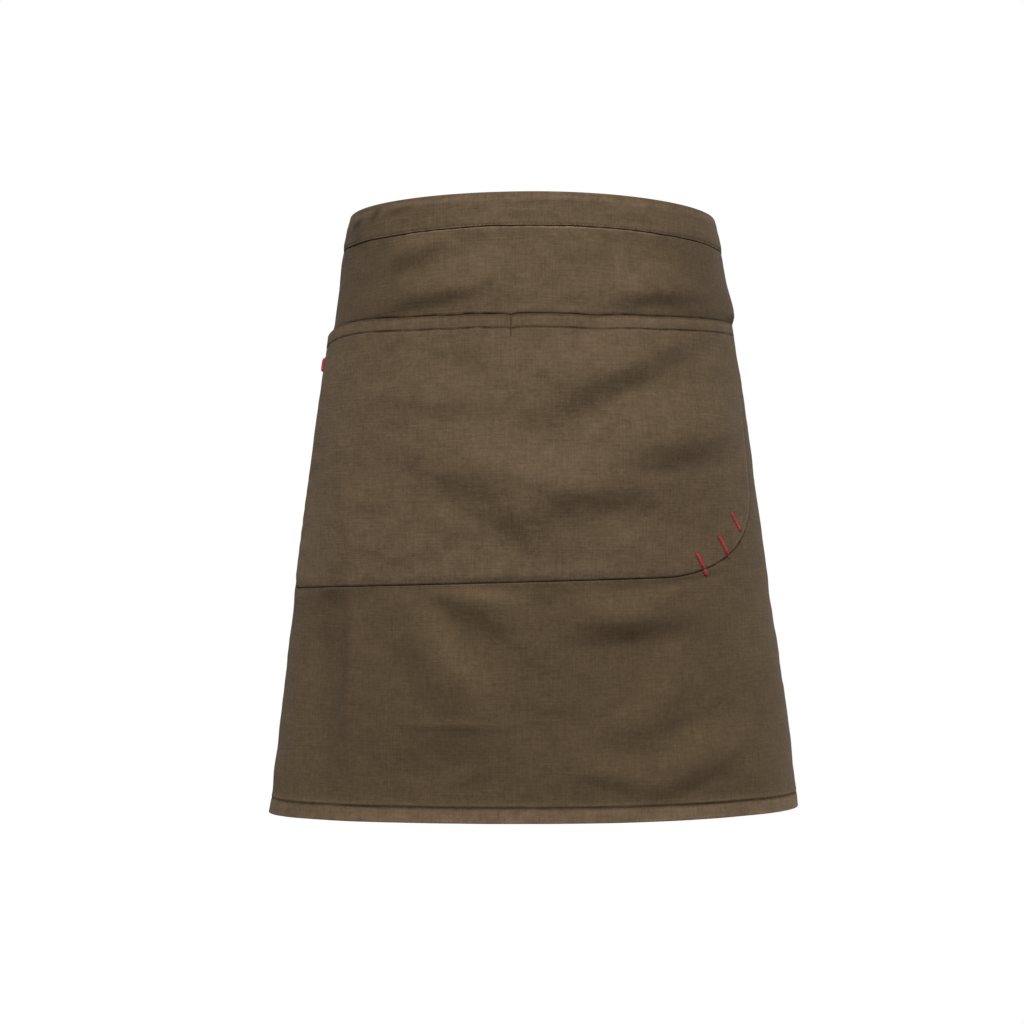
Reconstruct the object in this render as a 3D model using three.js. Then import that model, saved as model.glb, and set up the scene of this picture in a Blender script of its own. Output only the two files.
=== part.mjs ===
// Bar apron: a short waist apron with one wide patch pocket, in the form that it has when it is worn.
// Millimetres, +Z up, the front faces -Y. The origin is the waist's centre, halfway up the waistband.
// Cloth places: s runs round the waist from the middle of the front (+ to +X), t runs down from the top edge.
import * as THREE from "three";

// Driving dimensions
const CLOTH = 1;
const GAP = 0.4;
const APRON_LENGTH = 470;
const PANEL_WIDTH = 680;
const APRON_TURN = -17;
const BAND_HEIGHT = 25.6;
const BAND_OVERRUN = 16;
const HEM_HEIGHT = 11.5;
const SIDE_HEM = 10;
const POCKET_LEFT = -224;
const POCKET_RIGHT = 191;
const POCKET_MOUTH = 91.4;
const POCKET_BOTTOM = 291;
const POCKET_TILT = 0.028;
const LEFT_CORNER = 12;
const RIGHT_CORNER = 94;
const RIGHT_CORNER_HEIGHT = 66;
const MOUTH_HEM = 10.3;
const POCKET_TURNING = 9;
const POCKET_BAG = 2.6;
const TIE_WIDTH = 22;
const TIE_INSET = 11;
const KNOT_LENGTH = 30;
const TAIL_LENGTH = 270;
const COLUMN_STEP = 12.8;

// Worn form of the panel's outer face, one row for each level below the top edge:
// half-width, depth where it is widest, reach in front of and behind that depth, sag at the two sides.
const FORM = [
  { drop: 0, half: 144.4, limb: 0, front: 112, back: 100, sagLeft: 2, sagRight: 4.5 },
  { drop: 36, half: 151.4, limb: 0, front: 112, back: 102, sagLeft: 6, sagRight: 6.5 },
  { drop: 100, half: 160.5, limb: -1.5, front: 110.5, back: 118, sagLeft: 4, sagRight: 0.5 },
  { drop: 196, half: 173.8, limb: -2.5, front: 109.5, back: 145, sagLeft: 1, sagRight: 0 },
  { drop: 291, half: 186.5, limb: -5, front: 107, back: 168, sagLeft: 0, sagRight: 0 },
  { drop: 385, half: 198.5, limb: -15, front: 97, back: 186, sagLeft: 1, sagRight: -2 },
  { drop: 470, half: 206.3, limb: -30, front: 82, back: 200, sagLeft: 1.7, sagRight: -3.2 },
];

// Folds: middle (s, t), slope of the crest in degrees (+ falls to the right), half-length,
// widths above and below the crest, rise.
const YOKE_FOLDS = [
  { s: -92, t: 40, slope: -15, length: 40, above: 18, below: 15, rise: 2.8 },
  { s: -71, t: 70, slope: -6, length: 66, above: 26, below: 15, rise: 3.5 },
  { s: 99, t: 70, slope: -6, length: 66, above: 28, below: 15, rise: 3.7 },
  { s: 205, t: 74, slope: 0, length: 70, above: 40, below: 40, rise: 3 },
];
const POCKET_FOLDS = [
  { s: 59, t: 131, slope: -25, length: 112, above: 42, below: 24, rise: 5 },
  { s: 107, t: 182, slope: -8, length: 102, above: 44, below: 29, rise: 6.4 },
  { s: -31, t: 209, slope: 27, length: 80, above: 48, below: 42, rise: 5.8 },
  { s: 45, t: 219, slope: -5, length: 86, above: 34, below: 27, rise: 5.9 },
  { s: -13, t: 244, slope: 40, length: 34, above: 26, below: 20, rise: 2.6 },
  { s: -57, t: 156, slope: 6, length: 82, above: 30, below: 19, rise: 2 },
  { s: -184, t: 215, slope: 90, length: 110, above: 30, below: 30, rise: -1.8 },
];
const LOWER_FOLDS = [
  { s: -38, t: 308, slope: 30, length: 66, above: 26, below: 22, rise: 4.6 },
  { s: 75, t: 317, slope: -4, length: 78, above: 26, below: 22, rise: 5.6 },
  { s: -68, t: 350, slope: 54, length: 84, above: 25, below: 35, rise: 7.4 },
  { s: 99, t: 383, slope: -60, length: 50, above: 32, below: 24, rise: 3.6 },
  { s: 124, t: 428, slope: -23, length: 76, above: 34, below: 21, rise: 5.4 },
  { s: 60, t: 436, slope: 12, length: 52, above: 22, below: 13, rise: 2.4 },
  { s: -72, t: 398, slope: 4, length: 84, above: 60, below: 42, rise: 5 },
  { s: -166, t: 375, slope: 90, length: 125, above: 26, below: 32, rise: -6.5 },
  { s: -226, t: 400, slope: 88, length: 150, above: 40, below: 40, rise: -1.2 },
  { s: 196, t: 410, slope: 92, length: 130, above: 36, below: 36, rise: 1.5 },
  { s: -300, t: 440, slope: 93, length: 190, above: 42, below: 42, rise: 9 },
  { s: 276, t: 440, slope: 87, length: 190, above: 36, below: 36, rise: 8 },
];

// Red bar tacks: middle (s, t), slope of the bar in degrees, length, and how far a slack one stands off
const RED_TACKS = [
  { name: "red_tack_1", s: 130.9, t: 277.7, slope: 59, length: 18.5, lift: 0 },
  { name: "red_tack_2", s: 152.2, t: 264.4, slope: 56, length: 18.5, lift: 0 },
  { name: "red_tack_3", s: 165.5, t: 245.2, slope: 52, length: 16.5, lift: 0 },
  { name: "red_tack_side", s: -211.5, t: 116.6, slope: 88, length: 11, lift: 2.2 },
];
const TACK_HALF_WIDTH = 1.7;
const TACK_HALF_THICKNESS = 0.5;
const MOUTH_TACK = { name: "mouth_tack", s: -17, t: 100.6, slope: 90, length: 14, lift: 0 };

// Finishes: linear colour, roughness and metalness
const FINISH = {
  twill: { color: new THREE.Color(0.125, 0.088, 0.054), roughness: 0.9, metalness: 0 },
  brownThread: { color: new THREE.Color(0.045, 0.03, 0.02), roughness: 0.75, metalness: 0 },
  redThread: { color: new THREE.Color(0.42, 0.035, 0.04), roughness: 0.55, metalness: 0 },
};

// Values that follow from the driving dimensions
const TOP_Z = BAND_HEIGHT / 2;
const PANEL_LEFT = APRON_TURN - PANEL_WIDTH / 2;
const PANEL_RIGHT = APRON_TURN + PANEL_WIDTH / 2;
const SLOT = CLOTH + 2 * GAP;
const ARC_STEPS = 240;

const ease = (x) => THREE.MathUtils.smoothstep(x, 0, 1);
const lobe = (x) => (Math.abs(x) < 1 ? Math.cos((x * Math.PI) / 2) ** 2 : 0);

// Form at a level, from a smooth curve through the rows of the table
const FORM_COLUMNS = ["half", "limb", "front", "back", "sagLeft", "sagRight"];
const formCurve = new THREE.CubicInterpolant(
  FORM.map((row) => row.drop),
  FORM.flatMap((row) => FORM_COLUMNS.map((column) => row[column])),
  FORM_COLUMNS.length,
  new Float64Array(FORM_COLUMNS.length),
);

function formAt(t) {
  const values = formCurve.evaluate(THREE.MathUtils.clamp(t, 0, APRON_LENGTH));
  return Object.fromEntries(FORM_COLUMNS.map((column, i) => [column, values[i]]));
}

// Level section of the form, with a table that turns length round it into an angle
class Section {
  constructor(t) {
    this.form = formAt(t);
    this.lengths = [0];
    let last = this.place(0);
    for (let i = 1; i <= ARC_STEPS; i += 1) {
      const next = this.place((Math.PI * i) / ARC_STEPS);
      this.lengths.push(this.lengths[i - 1] + next.distanceTo(last));
      last = next;
    }
  }

  place(angle) {
    const { half, limb, front, back } = this.form;
    const reach = Math.cos(angle) > 0 ? front : back;
    return new THREE.Vector2(half * Math.sin(angle), limb - reach * Math.cos(angle));
  }

  normal(angle) {
    const { half, front, back } = this.form;
    const reach = Math.cos(angle) > 0 ? front : back;
    return new THREE.Vector2(reach * Math.sin(angle), -half * Math.cos(angle)).normalize();
  }

  angle(s) {
    const want = Math.min(Math.abs(s), this.lengths[ARC_STEPS]);
    let i = 1;
    while (i < ARC_STEPS && this.lengths[i] < want) {
      i += 1;
    }
    const share = (want - this.lengths[i - 1]) / (this.lengths[i] - this.lengths[i - 1]);
    return (Math.sign(s) * Math.PI * (i - 1 + share)) / ARC_STEPS;
  }
}

const sections = new Map();

function sectionAt(t) {
  const key = t.toFixed(3);
  if (!sections.has(key)) {
    sections.set(key, new Section(t));
  }
  return sections.get(key);
}

// Point of the worn form at a cloth place, moved outwards by a distance
function formPoint(s, t, out) {
  const section = sectionAt(t);
  const angle = section.angle(s);
  const { sagLeft, sagRight } = section.form;
  const inFront = Math.abs(angle) < Math.PI / 2;
  const sideSag = s < 0 ? sagLeft : sagRight;
  const backSag = THREE.MathUtils.lerp(sideSag, (sagLeft + sagRight) / 2, Math.cos(angle) ** 2);
  const sag = inFront ? sideSag * Math.sin(angle) ** 2 : backSag;
  const flat = section.place(angle).addScaledVector(section.normal(angle), out);
  return new THREE.Vector3(flat.x, flat.y, TOP_Z - t - sag);
}

// Height of a table's folds at a cloth place
function foldRise(folds, s, t) {
  return folds.reduce((sum, fold) => {
    const turn = THREE.MathUtils.degToRad(fold.slope);
    const along = (s - fold.s) * Math.cos(turn) + (t - fold.t) * Math.sin(turn);
    const across = (t - fold.t) * Math.cos(turn) - (s - fold.s) * Math.sin(turn);
    const width = across < 0 ? fold.above : fold.below;
    return sum + fold.rise * lobe(along / fold.length) * lobe(across / width);
  }, 0);
}

// Pocket outline: level of its bottom, and how far a place lies inside the sewn edge
const pocketBase = (s) => POCKET_BOTTOM - POCKET_TILT * (s - APRON_TURN);
const cornerAt = (s) => (s < APRON_TURN ? LEFT_CORNER : RIGHT_CORNER);
const cornerHeight = (s) => (s < APRON_TURN ? LEFT_CORNER : RIGHT_CORNER_HEIGHT);

function pastFlat(s) {
  const past = Math.max(POCKET_LEFT - s, s - POCKET_RIGHT) + cornerAt(s);
  return (past * cornerHeight(s)) / cornerAt(s);
}

function pocketFoot(s) {
  const corner = cornerHeight(s);
  const past = THREE.MathUtils.clamp(pastFlat(s), 0, corner);
  return pocketBase(s) - corner + Math.sqrt(corner ** 2 - past ** 2);
}

function insidePocket(s, t) {
  const corner = cornerHeight(s);
  const past = pastFlat(s);
  const below = t - (pocketBase(s) - corner);
  if (past > 0 && below > 0) {
    return corner - Math.hypot(past, below);
  }
  return corner - Math.max(past, below);
}

// Panel: folds in the yoke and below the pocket, none where the pocket is sewn on
function panelRise(s, t) {
  const above = POCKET_MOUTH - t;
  const below = t - pocketBase(s);
  const yoke = foldRise(YOKE_FOLDS, s, t) * ease(above / 12) * ease((t - BAND_HEIGHT) / 10);
  const beside = ease((Math.max(POCKET_LEFT - s, s - POCKET_RIGHT) - 4) / 30);
  return yoke + foldRise(LOWER_FOLDS, s, t) * Math.max(ease(below / 14), beside);
}

function panelThickness(s, t) {
  const hem = t > APRON_LENGTH - HEM_HEIGHT;
  const side = s < PANEL_LEFT + SIDE_HEM || s > PANEL_RIGHT - SIDE_HEM;
  return hem || (side && t > BAND_HEIGHT + 1) ? 2 * CLOTH : CLOTH;
}

const panelOuter = (s, t) => formPoint(s, t, panelRise(s, t));
const panelInner = (s, t) => formPoint(s, t, panelRise(s, t) - panelThickness(s, t));

// Pocket: rests on the panel at its seams and at the tack in the mouth, and bags a little between them
function pocketStand(s, t) {
  const inside = insidePocket(s, t);
  const tack = lobe(Math.hypot((s - MOUTH_TACK.s) / 45, (t - MOUTH_TACK.t) / 40));
  const folds = foldRise(POCKET_FOLDS, s, t) * ease(inside / 30);
  return GAP + (POCKET_BAG * ease(inside / 50) + folds) * (1 - 0.9 * tack);
}

function pocketThickness(s, t) {
  const turned = insidePocket(s, t) < POCKET_TURNING + 0.01;
  const hemmed = t - POCKET_MOUTH < MOUTH_HEM + 0.01;
  return turned || hemmed ? 2 * CLOTH : CLOTH;
}

const pocketFace = (s, t) => panelRise(s, t) + pocketStand(s, t) + 2 * CLOTH;
const pocketOuter = (s, t) => formPoint(s, t, pocketFace(s, t));
const pocketInner = (s, t) => formPoint(s, t, pocketFace(s, t) - pocketThickness(s, t));

// Meshes
function closedMesh(name, points, triangles) {
  const geometry = new THREE.BufferGeometry().setFromPoints(points);
  geometry.setIndex(triangles);
  const mesh = new THREE.Mesh(geometry);
  mesh.name = name;
  return mesh;
}

// Sheet with an outer and an inner face over the same columns and rows, closed round its rim
function sheet(name, columns, rowsAt, outer, inner) {
  const rows = columns.map(rowsAt);
  const high = rows[0].length;
  const points = [];
  for (const face of [outer, inner]) {
    columns.forEach((s, i) => rows[i].forEach((t) => points.push(face(s, t))));
  }
  const size = columns.length * high;
  const out = (i, j) => i * high + j;
  const back = (i, j) => size + i * high + j;
  const triangles = [];
  const quad = (a, b, c, d) => triangles.push(a, b, c, a, c, d);
  for (let i = 0; i + 1 < columns.length; i += 1) {
    for (let j = 0; j + 1 < high; j += 1) {
      quad(out(i, j), out(i, j + 1), out(i + 1, j + 1), out(i + 1, j));
      quad(back(i, j), back(i + 1, j), back(i + 1, j + 1), back(i, j + 1));
    }
    quad(out(i, 0), out(i + 1, 0), back(i + 1, 0), back(i, 0));
    quad(out(i, high - 1), back(i, high - 1), back(i + 1, high - 1), out(i + 1, high - 1));
  }
  const last = columns.length - 1;
  for (let j = 0; j + 1 < high; j += 1) {
    quad(out(0, j), back(0, j), back(0, j + 1), out(0, j + 1));
    quad(out(last, j), out(last, j + 1), back(last, j + 1), back(last, j));
  }
  return closedMesh(name, points, triangles);
}

// Solid through a row of closed rings. A flat section shows how to close its two ends.
function loft(name, rings, section) {
  const around = section.length;
  const points = rings.flat();
  const triangles = [];
  for (let i = 0; i + 1 < rings.length; i += 1) {
    for (let j = 0; j < around; j += 1) {
      const k = (j + 1) % around;
      const a = i * around + j;
      const b = i * around + k;
      triangles.push(a, b, b + around, a, b + around, a + around);
    }
  }
  const end = (rings.length - 1) * around;
  for (const [a, b, c] of THREE.ShapeUtils.triangulateShape(section, [])) {
    triangles.push(a, c, b);
    triangles.push(end + a, end + b, end + c);
  }
  return closedMesh(name, points, triangles);
}

function spaced(from, to, step) {
  const count = Math.max(1, Math.round((to - from) / step));
  return Array.from({ length: count + 1 }, (_, i) => from + ((to - from) * i) / count);
}

// Columns: even steps across the flat of the pocket, even angles round its corners, even steps beyond
function pocketColumns() {
  const round = (radius, turns) => turns.map((angle) => radius * Math.sin(THREE.MathUtils.degToRad(angle)));
  const left = POCKET_LEFT + LEFT_CORNER;
  const right = POCKET_RIGHT - RIGHT_CORNER;
  const leftTurn = round(LEFT_CORNER, [90, 60, 30]).map((x) => left - x);
  const rightTurn = round(RIGHT_CORNER, [9, 18, 28, 38, 49, 60, 74, 90]).map((x) => right + x);
  return [...leftTurn, ...spaced(left, right, COLUMN_STEP), ...rightTurn];
}

function panelColumns() {
  const pocket = pocketColumns();
  const left = spaced(PANEL_LEFT + SIDE_HEM + 1, pocket[0], COLUMN_STEP).slice(0, -1);
  const right = spaced(pocket[pocket.length - 1], PANEL_RIGHT - SIDE_HEM - 1, COLUMN_STEP).slice(1);
  const start = [PANEL_LEFT, PANEL_LEFT + SIDE_HEM - 0.01];
  const finish = [PANEL_RIGHT - SIDE_HEM + 0.01, PANEL_RIGHT];
  return [...start, ...left, ...pocket, ...right, ...finish];
}

// Rows: closer in the yoke and below the pocket, whose bottom edge one of them follows
function panelRows(s) {
  const foot = pocketBase(s);
  const hemLine = APRON_LENGTH - HEM_HEIGHT;
  const yoke = spaced(BAND_HEIGHT + 2, POCKET_MOUTH, 13);
  const behind = spaced(POCKET_MOUTH, foot, (foot - POCKET_MOUTH) / 6).slice(1);
  const lower = spaced(foot, hemLine - 1, (hemLine - 1 - foot) / 13).slice(1);
  return [CLOTH + GAP, BAND_HEIGHT + GAP, ...yoke, ...behind, ...lower, hemLine + 0.01, APRON_LENGTH];
}

function pocketRows(s) {
  const foot = pocketFoot(s);
  const top = POCKET_MOUTH + MOUTH_HEM;
  const low = foot - POCKET_TURNING;
  return [POCKET_MOUTH, top, ...spaced(top + 2, low - 2, (low - top - 4) / 10), low, foot];
}

// Waistband: a folded strip whose two walls hold the panel's top edge and the ends of the ties between them
function waistband() {
  const wall = CLOTH + GAP;
  const soft = 0.6;
  const section = [
    [wall, BAND_HEIGHT],
    [GAP, BAND_HEIGHT],
    [GAP, CLOTH],
    [GAP - SLOT, CLOTH],
    [GAP - SLOT, BAND_HEIGHT],
    [GAP - SLOT - CLOTH, BAND_HEIGHT],
    [GAP - SLOT - CLOTH, soft],
    [GAP - SLOT - CLOTH + soft, 0],
    [wall - soft, 0],
    [wall, soft],
  ];
  const panel = panelColumns();
  const columns = [PANEL_LEFT - BAND_OVERRUN, ...panel, PANEL_RIGHT + BAND_OVERRUN];
  const rings = columns.map((s) => section.map(([out, t]) => formPoint(s, t, out)));
  return loft("waistband", rings, section.map(([out, t]) => new THREE.Vector2(out, t)));
}

// Strip of cloth along a row of stations: middle, direction across its width, direction through it, width
function strip(name, stations, thickness) {
  const bevel = 0.3;
  const edge = thickness / 2;
  const section = [
    [-1, -edge + bevel],
    [-1 + 0.05, -edge],
    [1 - 0.05, -edge],
    [1, -edge + bevel],
    [1, edge - bevel],
    [1 - 0.05, edge],
    [-1 + 0.05, edge],
    [-1, edge - bevel],
  ];
  const rings = stations.map(({ middle, across, through, width }) =>
    section.map(([w, h]) =>
      middle.clone().addScaledVector(across, (w * width) / 2).addScaledVector(through, h),
    ),
  );
  return loft(name, rings, section.map(([w, h]) => new THREE.Vector2(w, h)));
}

// Back of the waist: the ties leave the band's ends and meet at a knot midway between them
const BAND_MIDDLE = BAND_HEIGHT / 2;
const waistSection = sectionAt(BAND_MIDDLE);
const waistHalf = waistSection.lengths[ARC_STEPS];
const slotMiddle = GAP - SLOT / 2;

function backPoint(s, out, t = BAND_MIDDLE) {
  return formPoint(s > waistHalf ? s - 2 * waistHalf : s, t, out);
}

const KNOT_PLACE = waistHalf + APRON_TURN;

function tie(name, from, to, knotEnd) {
  const places = spaced(from, to, (to - from) / 8);
  const stations = places.map((s, i) => {
    const middle = backPoint(s, slotMiddle);
    const through = backPoint(s, slotMiddle + 1).sub(middle).normalize();
    const along = backPoint(s + 1, slotMiddle).sub(backPoint(s - 1, slotMiddle)).normalize();
    const rise = backPoint(s, slotMiddle, 0).sub(backPoint(s, slotMiddle, BAND_HEIGHT));
    const across = rise.addScaledVector(along, -rise.dot(along)).normalize();
    const gather = ease((knotEnd === "last" ? i - 4 : 4 - i) / 4);
    return { middle, across, through, width: TIE_WIDTH * (1 - 0.3 * gather) };
  });
  return strip(name, stations, CLOTH);
}

// Knot: a wrapped bundle with three turns, lofted along the waist
const KNOT_BULGE = 1.06;
const KNOT_TURNS = [
  { along: -1, size: 0.5 },
  { along: -0.92, size: 0.78 },
  { along: -0.62, size: 0.9 },
  { along: -0.34, size: 0.78 },
  { along: -0.2, size: 0.96 },
  { along: 0, size: KNOT_BULGE },
  { along: 0.2, size: 0.96 },
  { along: 0.34, size: 0.78 },
  { along: 0.62, size: 0.9 },
  { along: 0.92, size: 0.78 },
  { along: 1, size: 0.5 },
];
const KNOT_HALF_HEIGHT = 12.5;
const KNOT_HALF_DEPTH = 8.5;

function knotFrame() {
  const middle = backPoint(KNOT_PLACE, slotMiddle);
  const out = backPoint(KNOT_PLACE, slotMiddle + 1).sub(middle).normalize();
  const along = out.clone().cross(new THREE.Vector3(0, 0, 1)).normalize();
  return { middle, out, along };
}

function knot() {
  const { middle, out, along } = knotFrame();
  const circle = Array.from({ length: 16 }, (_, i) => (i * Math.PI) / 8);
  const section = circle.map((a) => new THREE.Vector2(Math.cos(a), Math.sin(a)));
  const rings = KNOT_TURNS.map((turn) =>
    section.map(({ x, y }) =>
      middle
        .clone()
        .addScaledVector(along, (turn.along * KNOT_LENGTH) / 2)
        .addScaledVector(out, x * KNOT_HALF_DEPTH * turn.size)
        .add(new THREE.Vector3(0, 0, y * KNOT_HALF_HEIGHT * turn.size)),
    ),
  );
  return loft("tie_knot", rings, section);
}

// Tail: hangs from the knot, leans away from its partner and opens to the tie's full width
function tail(name, side) {
  const { middle, out, along } = knotFrame();
  const start = KNOT_HALF_HEIGHT * KNOT_BULGE + GAP;
  const stations = spaced(0, 1, 1 / 12).map((share) => {
    const lean = side * (7.6 + 26 * share ** 1.4);
    const swing = 5 * Math.sin(share * 5 + side) * ease(share * 3);
    const twist = side * 0.35 * Math.sin(share * 4);
    const place = middle.clone().addScaledVector(along, lean).addScaledVector(out, swing);
    place.z -= start + share * TAIL_LENGTH;
    const across = along.clone().multiplyScalar(Math.cos(twist)).addScaledVector(out, Math.sin(twist));
    const through = across.clone().cross(new THREE.Vector3(0, 0, 1));
    return { middle: place, across, through, width: TIE_WIDTH * (0.58 + 0.42 * ease(share * 5)) };
  });
  return strip(name, stations, CLOTH);
}

// Bar tack: a small padded bar that lies on the pocket, or arches off it where its thread is slack
function tack({ name, s, t, slope, length, lift }) {
  const middle = pocketOuter(s, t);
  const right = pocketOuter(s + 2, t).sub(pocketOuter(s - 2, t)).normalize();
  const down = pocketOuter(s, t + 2).sub(pocketOuter(s, t - 2)).normalize();
  const out = down.clone().cross(right).normalize();
  const turn = THREE.MathUtils.degToRad(slope);
  const axis = right.clone().multiplyScalar(Math.cos(turn)).addScaledVector(down, Math.sin(turn)).normalize();
  const across = out.clone().cross(axis).normalize();
  const circle = Array.from({ length: 8 }, (_, i) => ((i + 0.5) * Math.PI) / 4);
  const section = circle.map((a) => new THREE.Vector2(Math.cos(a), Math.sin(a)));
  const rings = [-1, -0.9, -0.6, 0, 0.6, 0.9, 1].map((along) => {
    const size = Math.sqrt(1 - 0.8 * along ** 8);
    const stand = TACK_HALF_THICKNESS + GAP + lift * lobe(along);
    return section.map(({ x, y }) =>
      middle
        .clone()
        .addScaledVector(axis, (along * length) / 2)
        .addScaledVector(across, x * TACK_HALF_WIDTH * size)
        .addScaledVector(out, stand + y * TACK_HALF_THICKNESS * size),
    );
  });
  return loft(name, rings, section);
}

// Assembly
const apron = new THREE.Group();

function add(mesh, finish) {
  mesh.material = new THREE.MeshStandardMaterial(finish);
  apron.add(mesh);
}

add(sheet("skirt_panel", panelColumns(), panelRows, panelOuter, panelInner), FINISH.twill);
add(waistband(), FINISH.twill);
add(sheet("pocket", pocketColumns(), pocketRows, pocketOuter, pocketInner), FINISH.twill);
add(tack(MOUTH_TACK), FINISH.brownThread);
for (const row of RED_TACKS) {
  add(tack(row), FINISH.redThread);
}
const tieRoom = KNOT_LENGTH / 2 + GAP;
const leftEnd = PANEL_LEFT - BAND_OVERRUN + TIE_INSET + 2 * waistHalf;
const rightEnd = PANEL_RIGHT + BAND_OVERRUN - TIE_INSET;
add(tie("tie_left", KNOT_PLACE + tieRoom, leftEnd, "first"), FINISH.twill);
add(tie("tie_right", rightEnd, KNOT_PLACE - tieRoom, "last"), FINISH.twill);
add(knot(), FINISH.twill);
add(tail("tail_left", -1), FINISH.twill);
add(tail("tail_right", 1), FINISH.twill);

export default apron;
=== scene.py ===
"""Bar apron in its worn form: panel, folded waistband, patch pocket, back ties, thread tacks and stitching.

Places on the cloth are in millimetres: s runs round the waist from the middle of the front, positive to +X,
and t runs down from the apron's top edge. Blender's objects are in metres.
"""

import logging
import math
from dataclasses import astuple, dataclass, field, replace
from enum import Enum
from functools import cached_property
from typing import Callable, Sequence

import bpy
import numpy as np
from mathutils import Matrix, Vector

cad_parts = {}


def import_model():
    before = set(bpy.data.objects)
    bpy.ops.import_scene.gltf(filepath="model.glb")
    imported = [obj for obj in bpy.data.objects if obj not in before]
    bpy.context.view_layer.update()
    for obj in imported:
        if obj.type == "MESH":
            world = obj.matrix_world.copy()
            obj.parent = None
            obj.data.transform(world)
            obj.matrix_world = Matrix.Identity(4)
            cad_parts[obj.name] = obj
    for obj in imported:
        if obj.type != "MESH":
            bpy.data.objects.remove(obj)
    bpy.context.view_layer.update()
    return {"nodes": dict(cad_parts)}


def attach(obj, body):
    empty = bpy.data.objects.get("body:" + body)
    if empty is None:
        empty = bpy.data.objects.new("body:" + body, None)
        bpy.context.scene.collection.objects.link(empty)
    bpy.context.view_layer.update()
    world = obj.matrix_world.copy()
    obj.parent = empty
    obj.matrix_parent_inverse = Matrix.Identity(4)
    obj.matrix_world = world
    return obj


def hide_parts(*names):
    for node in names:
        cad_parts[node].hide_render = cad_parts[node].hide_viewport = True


LOG = logging.getLogger("bar_apron")
MM = 0.001
Array = np.ndarray
Piece = bpy.types.Object
Socket = bpy.types.NodeSocket
Sockets = bpy.types.bpy_prop_collection
Triple = tuple[float, float, float]
Colour = Triple
Face = Callable[[Array, Array], Array]
Shape = tuple[Array, list[tuple[int, ...]]]
UP = np.array([0.0, 0.0, 1.0])


class Slot(Enum):
    """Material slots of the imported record."""

    TWILL = "twill"
    BROWN_THREAD = "brown_thread"
    RED_THREAD = "red_thread"


class Held(Enum):
    """Ways in which a sheet of cloth is held."""

    HUNG = "hung"
    STRETCHED = "stretched"
    FOLDED = "folded"
    GATHERED = "gathered"


class Side(Enum):
    """Sides of the apron as seen from the front."""

    LEFT = -1
    RIGHT = 1


@dataclass(frozen=True)
class ApronSizes:
    """Driving sizes of the apron in millimetres, the same as the solids'."""

    cloth: float = 1.0
    gap: float = 0.4
    length: float = 470.0
    width: float = 680.0
    turn: float = -17.0
    band_height: float = 25.6
    band_overrun: float = 16.0
    hem: float = 11.5
    side_hem: float = 10.0
    pocket_left: float = -224.0
    pocket_right: float = 191.0
    mouth: float = 91.4
    pocket_bottom: float = 291.0
    pocket_tilt: float = 0.028
    left_corner: float = 12.0
    right_corner: float = 94.0
    right_corner_height: float = 66.0
    mouth_hem: float = 10.3
    turning: float = 9.0
    bag: float = 2.6
    tie_width: float = 22.0
    tie_inset: float = 11.0
    knot_length: float = 30.0
    knot_half_height: float = 12.5
    knot_half_depth: float = 8.5
    knot_bulge: float = 1.06
    tail_length: float = 270.0

    @property
    def top(self) -> float:
        """Height of the top edge above the origin."""
        return self.band_height / 2

    @property
    def left(self) -> float:
        """Place of the panel's left edge along the waist."""
        return self.turn - self.width / 2

    @property
    def right(self) -> float:
        """Place of the panel's right edge along the waist."""
        return self.turn + self.width / 2

    @property
    def band_left(self) -> float:
        """Place of the waistband's left end along the waist."""
        return self.left - self.band_overrun

    @property
    def band_right(self) -> float:
        """Place of the waistband's right end along the waist."""
        return self.right + self.band_overrun

    @property
    def hem_line(self) -> float:
        """Level of the stitches that hold the bottom hem."""
        return self.length - self.hem

    @property
    def slot(self) -> float:
        """Room between the waistband's two walls."""
        return self.cloth + 2 * self.gap

    @property
    def slot_middle(self) -> float:
        """Middle of the waistband's slot, measured outwards from the panel's outer face."""
        return self.gap - self.slot / 2


@dataclass(frozen=True)
class FormLevel:
    """One level of the worn form: half-width, depth where it is widest, reach before and behind, side sag."""

    drop: float
    half: float
    limb: float
    front: float
    back: float
    sag_left: float
    sag_right: float


@dataclass(frozen=True)
class Fold:
    """Soft fold: middle, slope of its crest in degrees, half-length, widths above and below it, rise."""

    s: float
    t: float
    slope: float
    length: float
    above: float
    below: float
    rise: float


@dataclass(frozen=True)
class Tack:
    """Bar tack: name of its solid, middle, slope in degrees, size, and how far a slack one stands off."""

    node: str
    s: float
    t: float
    slope: float
    length: float
    width: float = 3.4
    height: float = 1.3
    lift: float = 0.0


FORM_LEVELS = (
    FormLevel(drop=0, half=143.6, limb=0, front=112, back=100, sag_left=2, sag_right=4.5),
    FormLevel(drop=12, half=147, limb=0, front=112, back=100.7, sag_left=3.5, sag_right=5.2),
    FormLevel(drop=36, half=151.4, limb=0, front=112, back=102, sag_left=6, sag_right=6.5),
    FormLevel(drop=100, half=160.5, limb=-1.5, front=110.5, back=118, sag_left=4, sag_right=0.5),
    FormLevel(drop=196, half=173.8, limb=-2.5, front=109.5, back=145, sag_left=1, sag_right=0),
    FormLevel(drop=291, half=186.5, limb=-5, front=107, back=168, sag_left=0, sag_right=0),
    FormLevel(drop=385, half=198.5, limb=-15, front=97, back=186, sag_left=1, sag_right=-2),
    FormLevel(drop=470, half=206.3, limb=-30, front=82, back=200, sag_left=1.7, sag_right=-3.2),
)

YOKE_FOLDS = (
    Fold(s=-92, t=40, slope=-15, length=40, above=18, below=15, rise=2.8),
    Fold(s=-71, t=70, slope=-6, length=66, above=26, below=15, rise=3.5),
    Fold(s=99, t=70, slope=-6, length=66, above=28, below=15, rise=3.7),
    Fold(s=205, t=74, slope=0, length=70, above=40, below=40, rise=3),
)

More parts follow.
